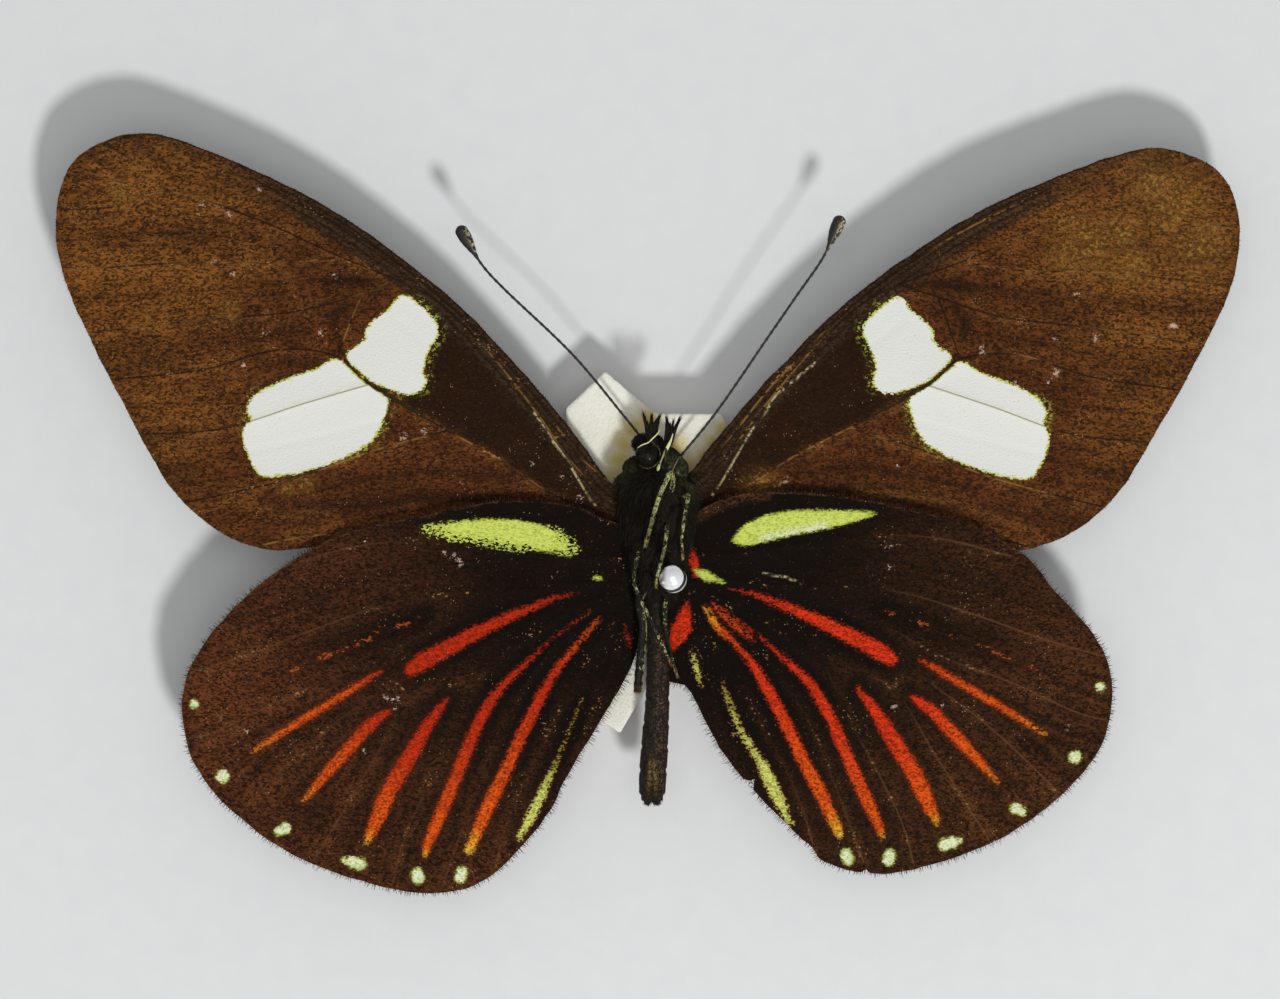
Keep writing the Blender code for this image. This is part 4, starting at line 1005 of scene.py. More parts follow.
for side, lean in (("right", -1), ("left", 1)):
    left = side == "left"
    placing = LEFT_FOREWING if left else None
    outline = placed([FOREWING_OUTLINE], placing)[0]
    marks = {
        "costa": smooth_path(outline[:COSTA_POINTS], 0.6),
        "patches": placed(FOREWING_PATCHES, placing),
        "cuts": placed(FOREWING_CUTS, placing),
        "fuzzy": placed(FOREWING_FUZZY, placing),
        "glow": [*placed(FOREWING_GLOW, placing), *(FOREWING_GLOW_LEFT if left else FOREWING_GLOW_RIGHT)],
        "rubbed": FOREWING_RUBBED_LEFT if left else FOREWING_RUBBED_RIGHT,
        "gilt": FOREWING_GILT_LEFT if left else FOREWING_GILT_RIGHT,
        "cell": placed([FOREWING_CELL], placing),
        "dusk": placed(FOREWING_DUSK, placing),
        "golden": placed(FOREWING_GOLDEN_VEINS, placing),
        "gleam": FOREWING_GLEAM_LEFT if left else FOREWING_GLEAM_RIGHT,
    }
    turn = lean * FOREWING_TURN
    add_wing(
        "forewing_" + side, wing_ring(outline, 1.0 + left), placed(FOREWING_VEINS, placing),
        placed(FOREWING_FOLDS, placing), FOREWING_LEVEL, marks,
        wing_underside("forewing_underside_" + side, turn, False, 0.0, FOREWING_TINTS),
        wing_upperside("forewing_upperside_" + side, turn),
    )

    placing = LEFT_HINDWING if left else None
    outline = placed([HINDWING_OUTLINE], placing)[0]
    if left:
        outline = np.vstack([outline[:1], HINDWING_COSTA_LEFT, outline[COSTA_REST:]])
    inner = HINDWING_INNER_LEFT if left else HINDWING_INNER_RIGHT
    stripes = HINDWING_STRIPES_LEFT if left else HINDWING_STRIPES_RIGHT
    marks = {
        "costa": smooth_path(outline[:COSTA_POINTS], 0.6),
        "patches": HINDWING_PATCHES_LEFT if left else HINDWING_PATCHES_RIGHT,
        "spots": placed([HINDWING_SPOTS], placing)[0],
        "fuzzy": () if left else HINDWING_FUZZY_RIGHT,
        "stripes": [*placed(HINDWING_STRIPES, placing), *stripes],
        "whitish": HINDWING_WHITISH_LEFT if left else (),
        "glow": HINDWING_GLOW_LEFT if left else HINDWING_GLOW_RIGHT,
        "gleam": HINDWING_GLEAM_LEFT if left else (),
        "rubbed": HINDWING_RUBBED_LEFT if left else HINDWING_RUBBED_RIGHT,
        "band": placed([HINDWING_BAND], placing),
    }
    turn = lean * HINDWING_TURN
    ring = wing_ring(np.vstack([outline, inner]), 3.0 + left, HINDWING_TEARS if left else ())
    tints = {**HINDWING_TINTS, **HINDWING_SIDE_TINTS[side]}
    add_wing(
        "hindwing_" + side, ring, placed(HINDWING_VEINS, placing), placed(HINDWING_FOLDS, placing),
        HINDWING_LEVEL, marks,
        wing_underside("hindwing_underside_" + side, turn, True, VEIN_SHARES[side], tints),
        wing_upperside("hindwing_upperside_" + side, turn),
    )


# Body skin: the dry cuticle of the head, thorax and abdomen, one closed shell under the coat. The
# legs' hips bulge from the thorax, and the abdomen's rings are let into one another like cups.
SKIN_CELL = 0.1
BODY_LEVEL = 5.9
THORAX_DEEP = 1.08
# The thorax's rows are y and a radius, and the abdomen's are x, y, z and a radius.
THORAX_ROWS = (
    (-1.3, 0.55), (-0.8, 0.9), (0.0, 1.15), (1.5, 1.42), (3.0, 1.68), (4.4, 1.7), (5.0, 1.55), (5.45, 1.2),
    (5.8, 0.7),
)
ABDOMEN_LINE = (
    (-0.8, -0.6, 5.65, 0.58), (-0.8, -1.8, 5.66, 0.6), (-0.76, -4.2, 5.75, 0.6), (-0.79, -6.6, 5.55, 0.63),
    (-0.91, -8.7, 5.3, 0.7), (-1.04, -10.8, 4.98, 0.72), (-1.06, -11.6, 4.85, 0.64),
    (-1.07, -12.05, 4.78, 0.4),
)
ABDOMEN_RING = 1.28
RING_DEPTH = 0.045
RING_WIDTH = 0.09
RINGS_START = -1.6
END_CLEFT = (-1.06, -12.1)
CLEFT_SIZE = (0.14, 0.3)
CLEFT_DEPTH = 0.16
UNEVENNESS = 0.02
HEAD_CENTRE = Vector((-0.45, 6.13, 6.0))
HEAD_RADII = (1.22, 0.8, 0.95)
HEAD_TURN = math.radians(-23.7)
# The middle of each leg's hip, and its tilt.
HIPS = (
    (-0.75, 3.9, 7.2, -0.55), (0.1, 3.8, 7.15, -0.55), (-1.3, 1.9, 7.15, -0.5), (-0.2, 1.95, 7.2, -0.5),
    (-1.2, 0.2, 6.9, -0.45), (-0.35, 0.1, 6.9, -0.45),
)
HIP_RADII = (0.42, 0.85, 0.42)
# Swellings of the skin at the shoulders and at the antennae's sockets: middles and radii.
LUMPS = (
    ((-1.72, 5.3, 5.7), (0.98, 1.08, 0.88)), ((0.15, 4.75, 5.65), (0.9, 0.95, 0.85)),
    ((-1.5, 7.02, 5.9), (0.56, 0.5, 0.5)), ((-0.95, 6.85, 6.1), (0.55, 0.62, 0.62)),
)


def loft(bm, rows, sides, deep=1.0):
    """Adds a closed tube through rows of x, y, z and radius, deep times as high as it is wide."""
    rows = np.array(rows, float)
    rims = []
    for row, ahead in zip(rows, np.gradient(rows[:, :3], axis=0)):
        turn = Vector(ahead).to_track_quat("Z", "Y").to_matrix().to_4x4()
        place = Matrix.Translation(row[:3]) @ turn @ Matrix.Diagonal((1.0, deep, 1.0, 1.0))
        verts = bmesh.ops.create_circle(bm, segments=sides, radius=row[3], matrix=place)["verts"]
        rims.append(list(dict.fromkeys(edge for vert in verts for edge in vert.link_edges)))
    for rim, following in zip(rims, rims[1:]):
        bmesh.ops.bridge_loops(bm, edges=rim + following)
    for rim in (rims[0], rims[-1]):
        bmesh.ops.contextual_create(bm, geom=rim)


def add_ball(bm, centre, radii, turn=0.0, tilt=0.0):
    """Adds an ellipsoid, turned about Z and tilted about X."""
    place = Matrix.Translation(centre) @ Matrix.Rotation(turn, 4, "Z") @ Matrix.Rotation(tilt, 4, "X")
    place = place @ Matrix.Diagonal((*radii, 1.0))
    bmesh.ops.create_uvsphere(bm, u_segments=32, v_segments=20, radius=1.0, matrix=place)


def points_of(mesh):
    """A mesh's points in millimetres, and the way out at each of them."""
    place = np.array([vert.co for vert in mesh.vertices]) / MM
    return place, np.array([vert.normal for vert in mesh.vertices])


def body_marks(mesh, place):
    """The coat's markings, alike for the skin and for the hairs and scales that grow from it."""
    x, y, z = place.T
    under = z > 5.0
    # Gold: two streaks on the last rings, which part towards the rear end.
    behind = -9.7 - y
    streak = np.abs(x - END_CLEFT[0]) - 0.1 - 0.06 * behind
    ends = 1 / (1 + np.exp(-(behind / 0.12))) / (1 + np.exp((behind - 1.55) / 0.12))
    store(mesh, "gold", 0.6 * np.exp(-((streak / 0.09) ** 2)) * ends * under)
    # Rust and sheen: a soft line along the abdomen's side towards the lamp is painted sheen, over a faint
    # rust of its own. Olive: the left cheek and the shoulders.
    beside = np.exp(-(((x + 0.6) / 0.3) ** 2)) * (y < -3.0) * under
    store(mesh, "rust_and_sheen", 0.42 * beside + 0.12 * (y < -2.0))
    cheek = np.linalg.norm((place - (0.42, 5.75, 6.7)) / (0.75, 0.9, 0.8), axis=1)
    shoulders = np.exp(-(((y - 5.6) / 0.5) ** 2)) * (np.abs(x - BODY_X) > 1.2)
    store(mesh, "olive", 0.55 * np.exp(-(cheek ** 2)) + 0.25 * shoulders)


def body_finish(name, black, brown):
    """Black cuticle and hair, with painted sheen and rust on the abdomen, olive cheek and gold rear end."""
    material, shader = new_finish(name, 0.62, 0.18)
    place = place_of(shader)
    patchy = clouds(shader, place, 0.35, 3.0, 0.65)
    specks, middle = grains(shader, place, 0.09)
    ground = mixed(shader, stored(shader, "shade"), black, brown)
    ground = mixed(shader, ramp(shader, patchy, 0.4, 0.75, 0.0, 0.5), ground, brown)
    # Each marking's key, the specks that it starts and ends with, and its tint.
    for key, low, high, tint in (
        # The first is a painted sheen along the abdomen's side, with a faint rust of its own.
        ("rust_and_sheen", 0.55, 0.9, (120, 86, 62)),
        ("olive", 0.25, 0.7, (104, 106, 66)),
        ("gold", 0.15, 0.5, (150, 122, 52)),
    ):
        share = sums(shader, "MULTIPLY", stored(shader, key), ramp(shader, specks, low, high))
        ground = mixed(shader, share, ground, colour(*tint))
    paint_with(shader, ground)
    raise_by(shader, middle, 0.02, 0.7)
    return material


bm = bmesh.new()
loft(bm, smooth_path([(BODY_X, y, BODY_LEVEL, r) for y, r in THORAX_ROWS], 0.35), 40, THORAX_DEEP)
loft(bm, smooth_path(ABDOMEN_LINE, 0.35), 24)
add_ball(bm, HEAD_CENTRE, HEAD_RADII, HEAD_TURN)
for x, y, z, tilt in HIPS:
    add_ball(bm, (x, y, z), HIP_RADII, 0.0, tilt)
for centre, radii in LUMPS:
    add_ball(bm, centre, radii)
bmesh.ops.recalc_face_normals(bm, faces=bm.faces)
skin = add_piece("body_skin", finished(bm, "body_skin"))
remeshed(skin, SKIN_CELL)
ease = skin.modifiers.new("ease", "SMOOTH")
ease.iterations = 4
ease.factor = 0.5
skin_mesh = applied(skin)
for vert in skin_mesh.vertices:
    place = vert.co / MM
    push = UNEVENNESS * noise.noise(place * 1.7)
    if place.y < RINGS_START:
        ring_share = (place.y / ABDOMEN_RING) % 1.0
        push -= RING_DEPTH * math.exp(-((min(ring_share, 1 - ring_share) / RING_WIDTH) ** 2))
        cleft = math.hypot((place.x - END_CLEFT[0]) / CLEFT_SIZE[0], (place.y - END_CLEFT[1]) / CLEFT_SIZE[1])
        push -= CLEFT_DEPTH * math.exp(-(cleft ** 2))
    vert.co += vert.normal * (push * MM)
skin_mesh.materials.append(body_finish("dry_cuticle", colour(16, 14, 10), colour(44, 34, 24)))
body_marks(skin_mesh, points_of(skin_mesh)[0])
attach(skin, "root")
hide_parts("thorax", "abdomen", "head")


# Eyes: two domes of fine six-sided lenses, dull and almost black in the dried animal, each in a
# narrow rim of pale scales that the head's cuticle holds.
EYE_RADIUS = 0.68
EYE_RIM = 0.035
EYE_SEAT = -0.48
EYE_FLATNESS = 0.92
RIM_LEVEL = -0.1
LENS = 0.05
EYES = {
    "right": (Vector((-1.3, 6.48, 6.62)), Vector((-0.45, 0.2, 0.87))),
    "left": (Vector((0.26, 5.72, 6.28)), Vector((0.9, -0.38, 0.16))),
}

lens_finish, shader = new_finish(
    "eye_lenses", 0.45, 0.05, [("Coat Weight", 0.08), ("Coat Roughness", 0.1)]
)
place = place_of(shader)
lens_shade, lens_middle = grains(shader, place, LENS)
mottle = clouds(shader, place, 0.25, 3.0, 0.7)
greenish = stored(shader, "greenish")
dark_eye = mixed(shader, ramp(shader, mottle, 0.4, 0.65), colour(7, 7, 6), colour(22, 19, 15))
pale_eye = mixed(shader, ramp(shader, mottle, 0.4, 0.65), colour(20, 21, 14), colour(62, 62, 40))
dark_eye = mixed(shader, greenish, dark_eye, pale_eye)
paint_with(shader, mixed(shader, ramp(shader, lens_shade, 0.6, 1.0, 0.0, 0.2), dark_eye, colour(80, 76, 58)))
raise_by(shader, lens_middle, 0.012, 0.8)
rim_finish, shader = new_finish("eye_rim_scales", 0.8, 0.2)
rim_shade, rim_middle = grains(shader, place_of(shader), 0.06)
paint_with(shader, mixed(shader, rim_shade, colour(70, 54, 38), colour(150, 138, 96)))
raise_by(shader, rim_middle, 0.02)
for side, (centre, outward) in EYES.items():
    bm = bmesh.new()
    bmesh.ops.create_uvsphere(bm, u_segments=48, v_segments=32, radius=EYE_RADIUS)
    cut = bmesh.ops.bisect_plane(
        bm, geom=bm.verts[:] + bm.edges[:] + bm.faces[:], plane_co=(0, 0, EYE_SEAT), plane_no=(0, 0, -1),
        clear_outer=True,
    )
    bmesh.ops.contextual_create(bm, geom=[e for e in cut["geom_cut"] if isinstance(e, bmesh.types.BMEdge)])
    bmesh.ops.scale(bm, vec=(1.0, 1.0, EYE_FLATNESS), verts=bm.verts)
    lens_faces = set(bm.faces)
    reach = math.sqrt(EYE_RADIUS ** 2 - RIM_LEVEL ** 2)
    upright = Matrix.Rotation(math.pi / 2, 4, "X")
    rim_place = Matrix.Translation((reach + 0.02, 0, RIM_LEVEL * EYE_FLATNESS)) @ upright
    rim = bmesh.ops.create_circle(bm, segments=10, radius=EYE_RIM, matrix=rim_place)["verts"]
    rim_edges = list(dict.fromkeys(edge for vert in rim for edge in vert.link_edges))
    bmesh.ops.spin(
        bm, geom=rim + rim_edges, cent=(0, 0, 0), axis=(0, 0, 1), angle=math.tau, steps=48, use_merge=True
    )
    bmesh.ops.recalc_face_normals(bm, faces=bm.faces)
    for face in bm.faces:
        face.material_index = int(face not in lens_faces)
    turn = outward.to_track_quat("Z", "Y").to_matrix().to_4x4()
    bmesh.ops.transform(bm, matrix=Matrix.Translation(centre) @ turn, verts=bm.verts)
    mesh = finished(bm, "compound_eye_" + side)
    store(mesh, "greenish", np.full(len(mesh.vertices), float(side == "left")))
    eye = add_piece("compound_eye_" + side, mesh, lens_finish, rim_finish)
    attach(eye, "root")
    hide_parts("eye_" + side)


# Coat of the body: long black hair on the thorax that lies towards the rear, short flat scales on the
# abdomen, and fine hair on the head that stands out a little between the eyes.
TUFT_PATCH = 0.003
TUFT_RINGS = 2
THORAX_HAIRS = 15000
THORAX_HAIR_LENGTH = 0.45
FLANK_HAIR_MORE = 0.4
THORAX_HAIR_WIDTH = 0.022
ABDOMEN_SCALES = 11000
ABDOMEN_SCALE_LENGTH = 0.2
END_SCALE_MORE = 0.12
END_START = -11.0
ABDOMEN_SCALE_WIDTH = 0.04
HEAD_HAIRS = 3600
HEAD_HAIR_LENGTH = 0.12
CROWN_HAIR_MORE = 0.22
HEAD_HAIR_WIDTH = 0.017
THORAX_END = -1.1
HEAD_START = 5.65


def scatter(mesh, count, density, rng):
    """Seeded points on a mesh, in millimetres, and the way out at each of them."""
    mesh.calc_loop_triangles()
    corner = np.empty(len(mesh.loop_triangles) * 3, np.int32)
    mesh.loop_triangles.foreach_get("vertices", corner)
    corner = corner.reshape(-1, 3)
    place, out = points_of(mesh)
    a, b, c = (place[corner[:, i]] for i in range(3))
    weight = np.linalg.norm(np.cross(b - a, c - a), axis=1) * density((a + b + c) / 3)
    pick = corner[rng.choice(len(corner), count, p=weight / weight.sum())]
    share = rng.dirichlet((1.0, 1.0, 1.0), count)[..., None]
    return (place[pick] * share).sum(1), unit((out[pick] * share).sum(1))


def grow(name, finish, roots, out, lie, length, width, rise, patch, rng, flat=1.0, curl=0.08):
    """Hairs or scales as one mesh: closed three-sided spikes that lie along the skin and taper."""
    count = len(roots)
    lie = unit(lie - out * (lie * out).sum(1)[:, None])
    side = np.cross(out, lie)
    length = length * rng.uniform(0.75, 1.25, count)
    bend = rng.normal(0.0, curl, count)
    angles = np.arange(3) * (math.tau / 3) + math.pi / 6
    size = TUFT_RINGS * 3 + 1
    verts = np.empty((count, size, 3))
    for i in range(TUFT_RINGS + 1):
        s = i / TUFT_RINGS
        middle = (
            roots + lie * (length * s)[:, None] + side * (length * bend * s * s)[:, None]
            + out * (length * rise * math.sin(s * 1.9) - 0.03 * (1 - s))[:, None]
        )
        if i == TUFT_RINGS:
            verts[:, -1] = middle
            break
        thick = width * (0.75 + 0.5 * s) * (1 - s * s)
        for k, angle in enumerate(angles):
            verts[:, i * 3 + k] = middle + thick * (math.cos(angle) * side + flat * math.sin(angle) * out)
    shape = [(0, 2, 1)]
    for i in range(TUFT_RINGS - 1):
        for k in range(3):
            start, following = i * 3 + k, i * 3 + (k + 1) % 3
            shape.append((start, following, following + 3, start + 3))
    last = size - 4
    shape += [(last + k, last + (k + 1) % 3, size - 1) for k in range(3)]
    faces = [tuple(start + k for k in face) for start in range(0, count * size, size) for face in shape]
    mesh = bpy.data.meshes.new(name)
    mesh.from_pydata((verts.reshape(-1, 3) * MM).tolist(), [], faces)
    mesh.shade_smooth()
    store(mesh, "shade", np.repeat(rng.uniform(0.0, 1.0, count), size))
    spread = np.array([((k % 3 - 1) / 2, k // 3 / TUFT_RINGS) for k in range(size - 1)] + [(0.0, 1.0)])
    corners = np.array([k for face in shape for k in face])
    places = patch[:, None, :] + spread[corners][None] * TUFT_PATCH
    mesh.uv_layers.new(name="OFBake").uv.foreach_set("vector", places.astype(np.float32).ravel())
    return add_piece(name, mesh, finish), np.repeat(roots, size, axis=0)


def body_patch(roots):
    """Each root's place on the body's skin, slit along the back and unrolled."""
    around = np.arctan2(roots[:, 0] - BODY_X, roots[:, 2] - BODY_LEVEL) / math.tau + 0.5
    return np.column_stack([0.01 + 0.97 * around, (roots[:, 1] + 12.7) / 20.6])


def mostly(rng, count, way, loose):
    """One direction for each hair, more or less loose."""
    return np.array(way, float) + rng.normal(0.0, loose, (count, 3))


def eye_gap(place):
    """The distance to the nearer eye's surface."""
    gaps = [np.linalg.norm(place - np.array(centre), axis=1) for centre, _ in EYES.values()]
    return np.min(gaps, axis=0) - EYE_RADIUS


def add_coat(name, roots, out, lie, length, width, rise, **form):
    """One coat of the body, with the skin's markings."""
    patch = body_patch(roots)
    coat, points = grow(name, coat_finish, roots, out, lie, length, width, rise, patch, rng, **form)
    body_marks(coat.data, points)
    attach(coat, "root")


rng = np.random.default_rng(11)
coat_finish = body_finish("black_hair", colour(10, 10, 7), colour(44, 38, 27))
roots, out = scatter(
    skin_mesh, THORAX_HAIRS,
    lambda p: (p[:, 1] > THORAX_END) * (p[:, 1] < HEAD_START) * (eye_gap(p) > 0.02), rng,
)
lie = mostly(rng, len(roots), (0.0, -1.0, 0.0), 0.3)
lie[:, 0] += 0.3 * np.sign(roots[:, 0] - BODY_X)
length = THORAX_HAIR_LENGTH + FLANK_HAIR_MORE * np.clip(np.abs(roots[:, 0] - BODY_X) / 1.5, 0.0, 1.0)
length *= rng.choice((0.7, 1.0, 1.4), len(roots), p=(0.3, 0.6, 0.1))
add_coat("thorax_hair", roots, out, lie, length, THORAX_HAIR_WIDTH, 0.34, curl=0.14)

roots, out = scatter(skin_mesh, ABDOMEN_SCALES, lambda p: p[:, 1] < THORAX_END + 0.5, rng)
lie = mostly(rng, len(roots), (0.0, -1.0, 0.0), 0.16)
length = np.full(len(roots), ABDOMEN_SCALE_LENGTH) + END_SCALE_MORE * (roots[:, 1] < END_START)
add_coat("abdomen_scales", roots, out, lie, length, ABDOMEN_SCALE_WIDTH, 0.12, flat=0.35)

roots, out = scatter(skin_mesh, HEAD_HAIRS, lambda p: (p[:, 1] > HEAD_START) * (eye_gap(p) > 0.04), rng)
lie = mostly(rng, len(roots), (0.0, 0.9, 0.5), 0.25)
length = HEAD_HAIR_LENGTH + CROWN_HAIR_MORE * np.clip(eye_gap(roots) / 0.5, 0.0, 1.0)
add_coat("head_hair", roots, out, lie, length, HEAD_HAIR_WIDTH, 0.3)


# Wing fringe: rows of narrow scales and short hairs that stand out from the wings' edges, longer ones
# along the hindwings' inner edge, and hardly any along the forewings.
FRINGE_GAP = 0.055
FRINGE_LENGTH = 0.26
FOREWING_FRINGE_LENGTH = 0.1
INNER_LENGTH = 0.32
INNER_REACH = 7.5
FRINGE_FREE = 3.4
FRINGE_SINK = 0.06
FRINGE_WIDTH = 0.02


def distance_along(path):
    """How far along a path of rows each row lies."""
    return np.concatenate([[0.0], np.cumsum(np.linalg.norm(np.diff(path, axis=0), axis=1))])


fringe_finish, shader = new_finish("fringe_scales", 0.75, 0.2)
paint_with(shader, mixed(shader, stored(shader, "shade"), colour(30, 21, 17), colour(74, 50, 36)))
for name, ring in rings.items():
    hind = name.startswith("hind")
    facing = across(np.roll(ring, -1, axis=0) - np.roll(ring, 1, axis=0))
    facing *= -1.0 if depth_in(ring[:1] + facing[:1] * 0.05, ring)[0] > 0 else 1.0
    along = distance_along(ring)
    stations = np.arange(0.0, along[-1], FRINGE_GAP)
    stations += rng.normal(0.0, 0.02, len(stations))
    edge = np.column_stack([np.interp(stations, along, ring[:, i]) for i in (0, 1)])
    ways = np.column_stack([np.interp(stations, along, facing[:, i]) for i in (0, 1)])
    free = np.linalg.norm(edge - WING_ROOT, axis=1) > FRINGE_FREE
    edge, ways, stations = edge[free], ways[free], stations[free]
    height = sheet_level(edge, *sheets[name])
    count = len(edge)
    inner = hind & (np.abs(edge[:, 0] - BODY_X) < INNER_REACH) & (edge[:, 1] < 0)
    out = np.tile((0.0, 0.0, 1.0), (count, 1))
    lie = np.column_stack([ways, np.zeros(count)]) + rng.normal(0.0, 0.25, (count, 3))
    roots = np.column_stack([edge - ways * FRINGE_SINK, height + rng.normal(0.0, 0.012, count)])
    length = np.where(inner, INNER_LENGTH, FRINGE_LENGTH if hind else FOREWING_FRINGE_LENGTH)
    length *= rng.choice((0.5, 1.0, 1.4), count, p=(0.3, 0.5, 0.2))
    patch = np.column_stack([0.01 + 0.97 * stations / along[-1], rng.uniform(0.05, 0.95, count)])
    fringe, _ = grow(
        name + "_fringe", fringe_finish, roots, out, lie, length, FRINGE_WIDTH, 0.02, patch, rng,
        flat=0.6,
    )
    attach(fringe, "root")


# Antennae: beaded threads of many short joints that end in a drop-shaped club, scaled dark on the
# outside, with cream scales on one side of the club.
ANTENNA_LINES = {
    "right": (
        (-0.75, 6.45, 5.3), (-1.3, 7.0, 5.0), (-2.5, 8.5, 5.1), (-5.3, 11.85, 5.4), (-8.8, 15.2, 5.5),
        (-10.1, 16.6, 5.45), (-10.9, 17.9, 5.35), (-11.38, 18.7, 5.3),
    ),
    "left": (
        (-0.15, 5.95, 5.3), (0.45, 6.45, 5.0), (2.47, 8.94, 5.1), (4.92, 12.5, 5.4), (6.55, 14.86, 5.5),
        (8.0, 16.95, 5.45), (8.65, 18.35, 5.35), (9.03, 19.25, 5.3),
    ),
}
SHAFT_RADIUS = 0.062
JOINT_LENGTH = 0.42
JOINT_SWELL = 0.022
JOINT_WIDTH = 0.16
CLUB_LENGTH = 2.2
CLUB_RADIUS = 0.35
PALE_SIDE = np.array((0.9, -0.1, 0.42))

feeler_finish, shader = new_finish("antenna_scales", 0.55, 0.35)
pale_side = stored(shader, "pale_side")
place = place_of(shader)
scale_shade, scale_middle = grains(shader, place, 0.09)
band = clouds(shader, place, 0.25, 2.0)
dark_feeler = mixed(shader, band, colour(14, 13, 11), colour(50, 44, 38))
cream = sums(shader, "MULTIPLY", pale_side, ramp(shader, scale_shade, 0.55, 0.6))
paint_with(shader, mixed(shader, cream, dark_feeler, colour(208, 196, 158)))
raise_by(shader, scale_middle, 0.015, 0.7)
for side, line in ANTENNA_LINES.items():
    path = smooth_path(line, 0.07)
    gone = distance_along(path)
    to_tip = gone[-1] - gone
    bead = np.exp(-((((gone / JOINT_LENGTH) % 1.0 - 0.5) / JOINT_WIDTH) ** 2))
    radius = SHAFT_RADIUS + JOINT_SWELL * bead
    drop = np.clip(1 - to_tip / CLUB_LENGTH, 0.0, 1.0)
    swell = np.clip(drop / 0.72, 0.0, 1.0)
    swell = swell * swell * (3 - 2 * swell)
    end = np.sqrt(np.clip(1 - (np.clip(drop - 0.84, 0.0, 1.0) / 0.16) ** 2, 0.02, 1.0))
    radius = (radius + (CLUB_RADIUS - SHAFT_RADIUS) * swell * (1 - 0.05 * bead)) * end
    bm = bmesh.new()
    loft(bm, np.column_stack([path, radius]), 12)
    bmesh.ops.recalc_face_normals(bm, faces=bm.faces)
    mesh = finished(bm, "antenna_thread_" + side, 60.0)
    place, out = points_of(mesh)
    near_tip = np.clip(1 - np.linalg.norm(place - path[-1], axis=1) / (CLUB_LENGTH * 1.2), 0.0, 1.0)
    facing = np.clip((out @ PALE_SIDE - 0.55) * 2.2, 0.0, 1.0)
    store(mesh, "pale_side", facing * np.clip(near_tip * 2.5, 0.0, 1.0))
    antenna = add_piece("antenna_thread_" + side, mesh, feeler_finish)
    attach(antenna, "root")
    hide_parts("antenna_" + side)


# Palps: two short feelers in front of the mouth, each wrapped in long dark scales that end in points,
# and with pale scales on its inner side.
# The stems' and the pale strands' rows are x, y, z and a radius, and a spike's tip is x and y.
PALP_LINES = {
    "right": (
        (-0.85, 6.75, 6.7, 0.12), (-1.05, 7.2, 6.85, 0.14), (-1.2, 7.6, 6.95, 0.13), (-1.25, 7.95, 7.0, 0.05),
    ),
    "left": (
        (-0.3, 6.5, 6.7, 0.12), (-0.24, 7.0, 6.9, 0.17), (-0.12, 7.45, 7.0, 0.15), (-0.02, 7.85, 7.0, 0.05),
    ),
}
PALP_TIPS = {
    "right": ((-1.52, 8.66), (-1.32, 8.2), (-1.08, 8.62), (-0.86, 8.15), (-0.66, 8.56)),
    "left": ((-0.3, 8.48), (-0.12, 8.1), (0.06, 8.3), (0.2, 8.05), (0.42, 8.46)),
}
PALE_STRANDS = {
    "right": (
        (-0.62, 7.86, 7.15, 0.012), (-0.8, 7.6, 7.2, 0.03), (-1.02, 7.38, 7.25, 0.035),
        (-1.27, 7.15, 7.25, 0.03), (-1.6, 7.02, 7.1, 0.03), (-1.85, 6.86, 6.9, 0.012),
    ),
    "left": (
        (0.03, 7.62, 7.25, 0.02), (-0.06, 7.3, 7.35, 0.05), (-0.22, 6.95, 7.42, 0.085),
        (-0.38, 6.65, 7.42, 0.075), (-0.56, 6.25, 7.35, 0.035), (-0.68, 5.98, 7.28, 0.05),
        (-0.74, 5.78, 7.24, 0.085), (-0.78, 5.64, 7.2, 0.03),
    ),
}
PALP_SCALES = 500
PALP_SCALE_LENGTHS = (0.25, 0.45)
PALP_HAIR_WIDTH = 0.02
SPIKE_HAIRS = 110
SPIKE_SPREAD = 0.22


def tube_roots(path, count, rng):
    """Points on a tube of rows of x, y, z and radius, the ways out and along, and their unrolled place."""
    t = rng.uniform(0.0, len(path) - 1.001, count)
    i = t.astype(int)
    row = path[i] + (path[i + 1] - path[i]) * (t - i)[:, None]
    along = unit((path[i + 1] - path[i])[:, :3])
    angle = rng.uniform(0.0, math.tau, count)
    side = unit(np.cross(along, (0.0, 0.0, 1.0)) + (1e-6, 0.0, 0.0))
    out = side * np.cos(angle)[:, None] + np.cross(side, along) * np.sin(angle)[:, None]
    patch = np.column_stack([angle / math.tau, t / len(path)])
    return row[:, :3] + out * row[:, 3:] * 0.95, out, along, patch


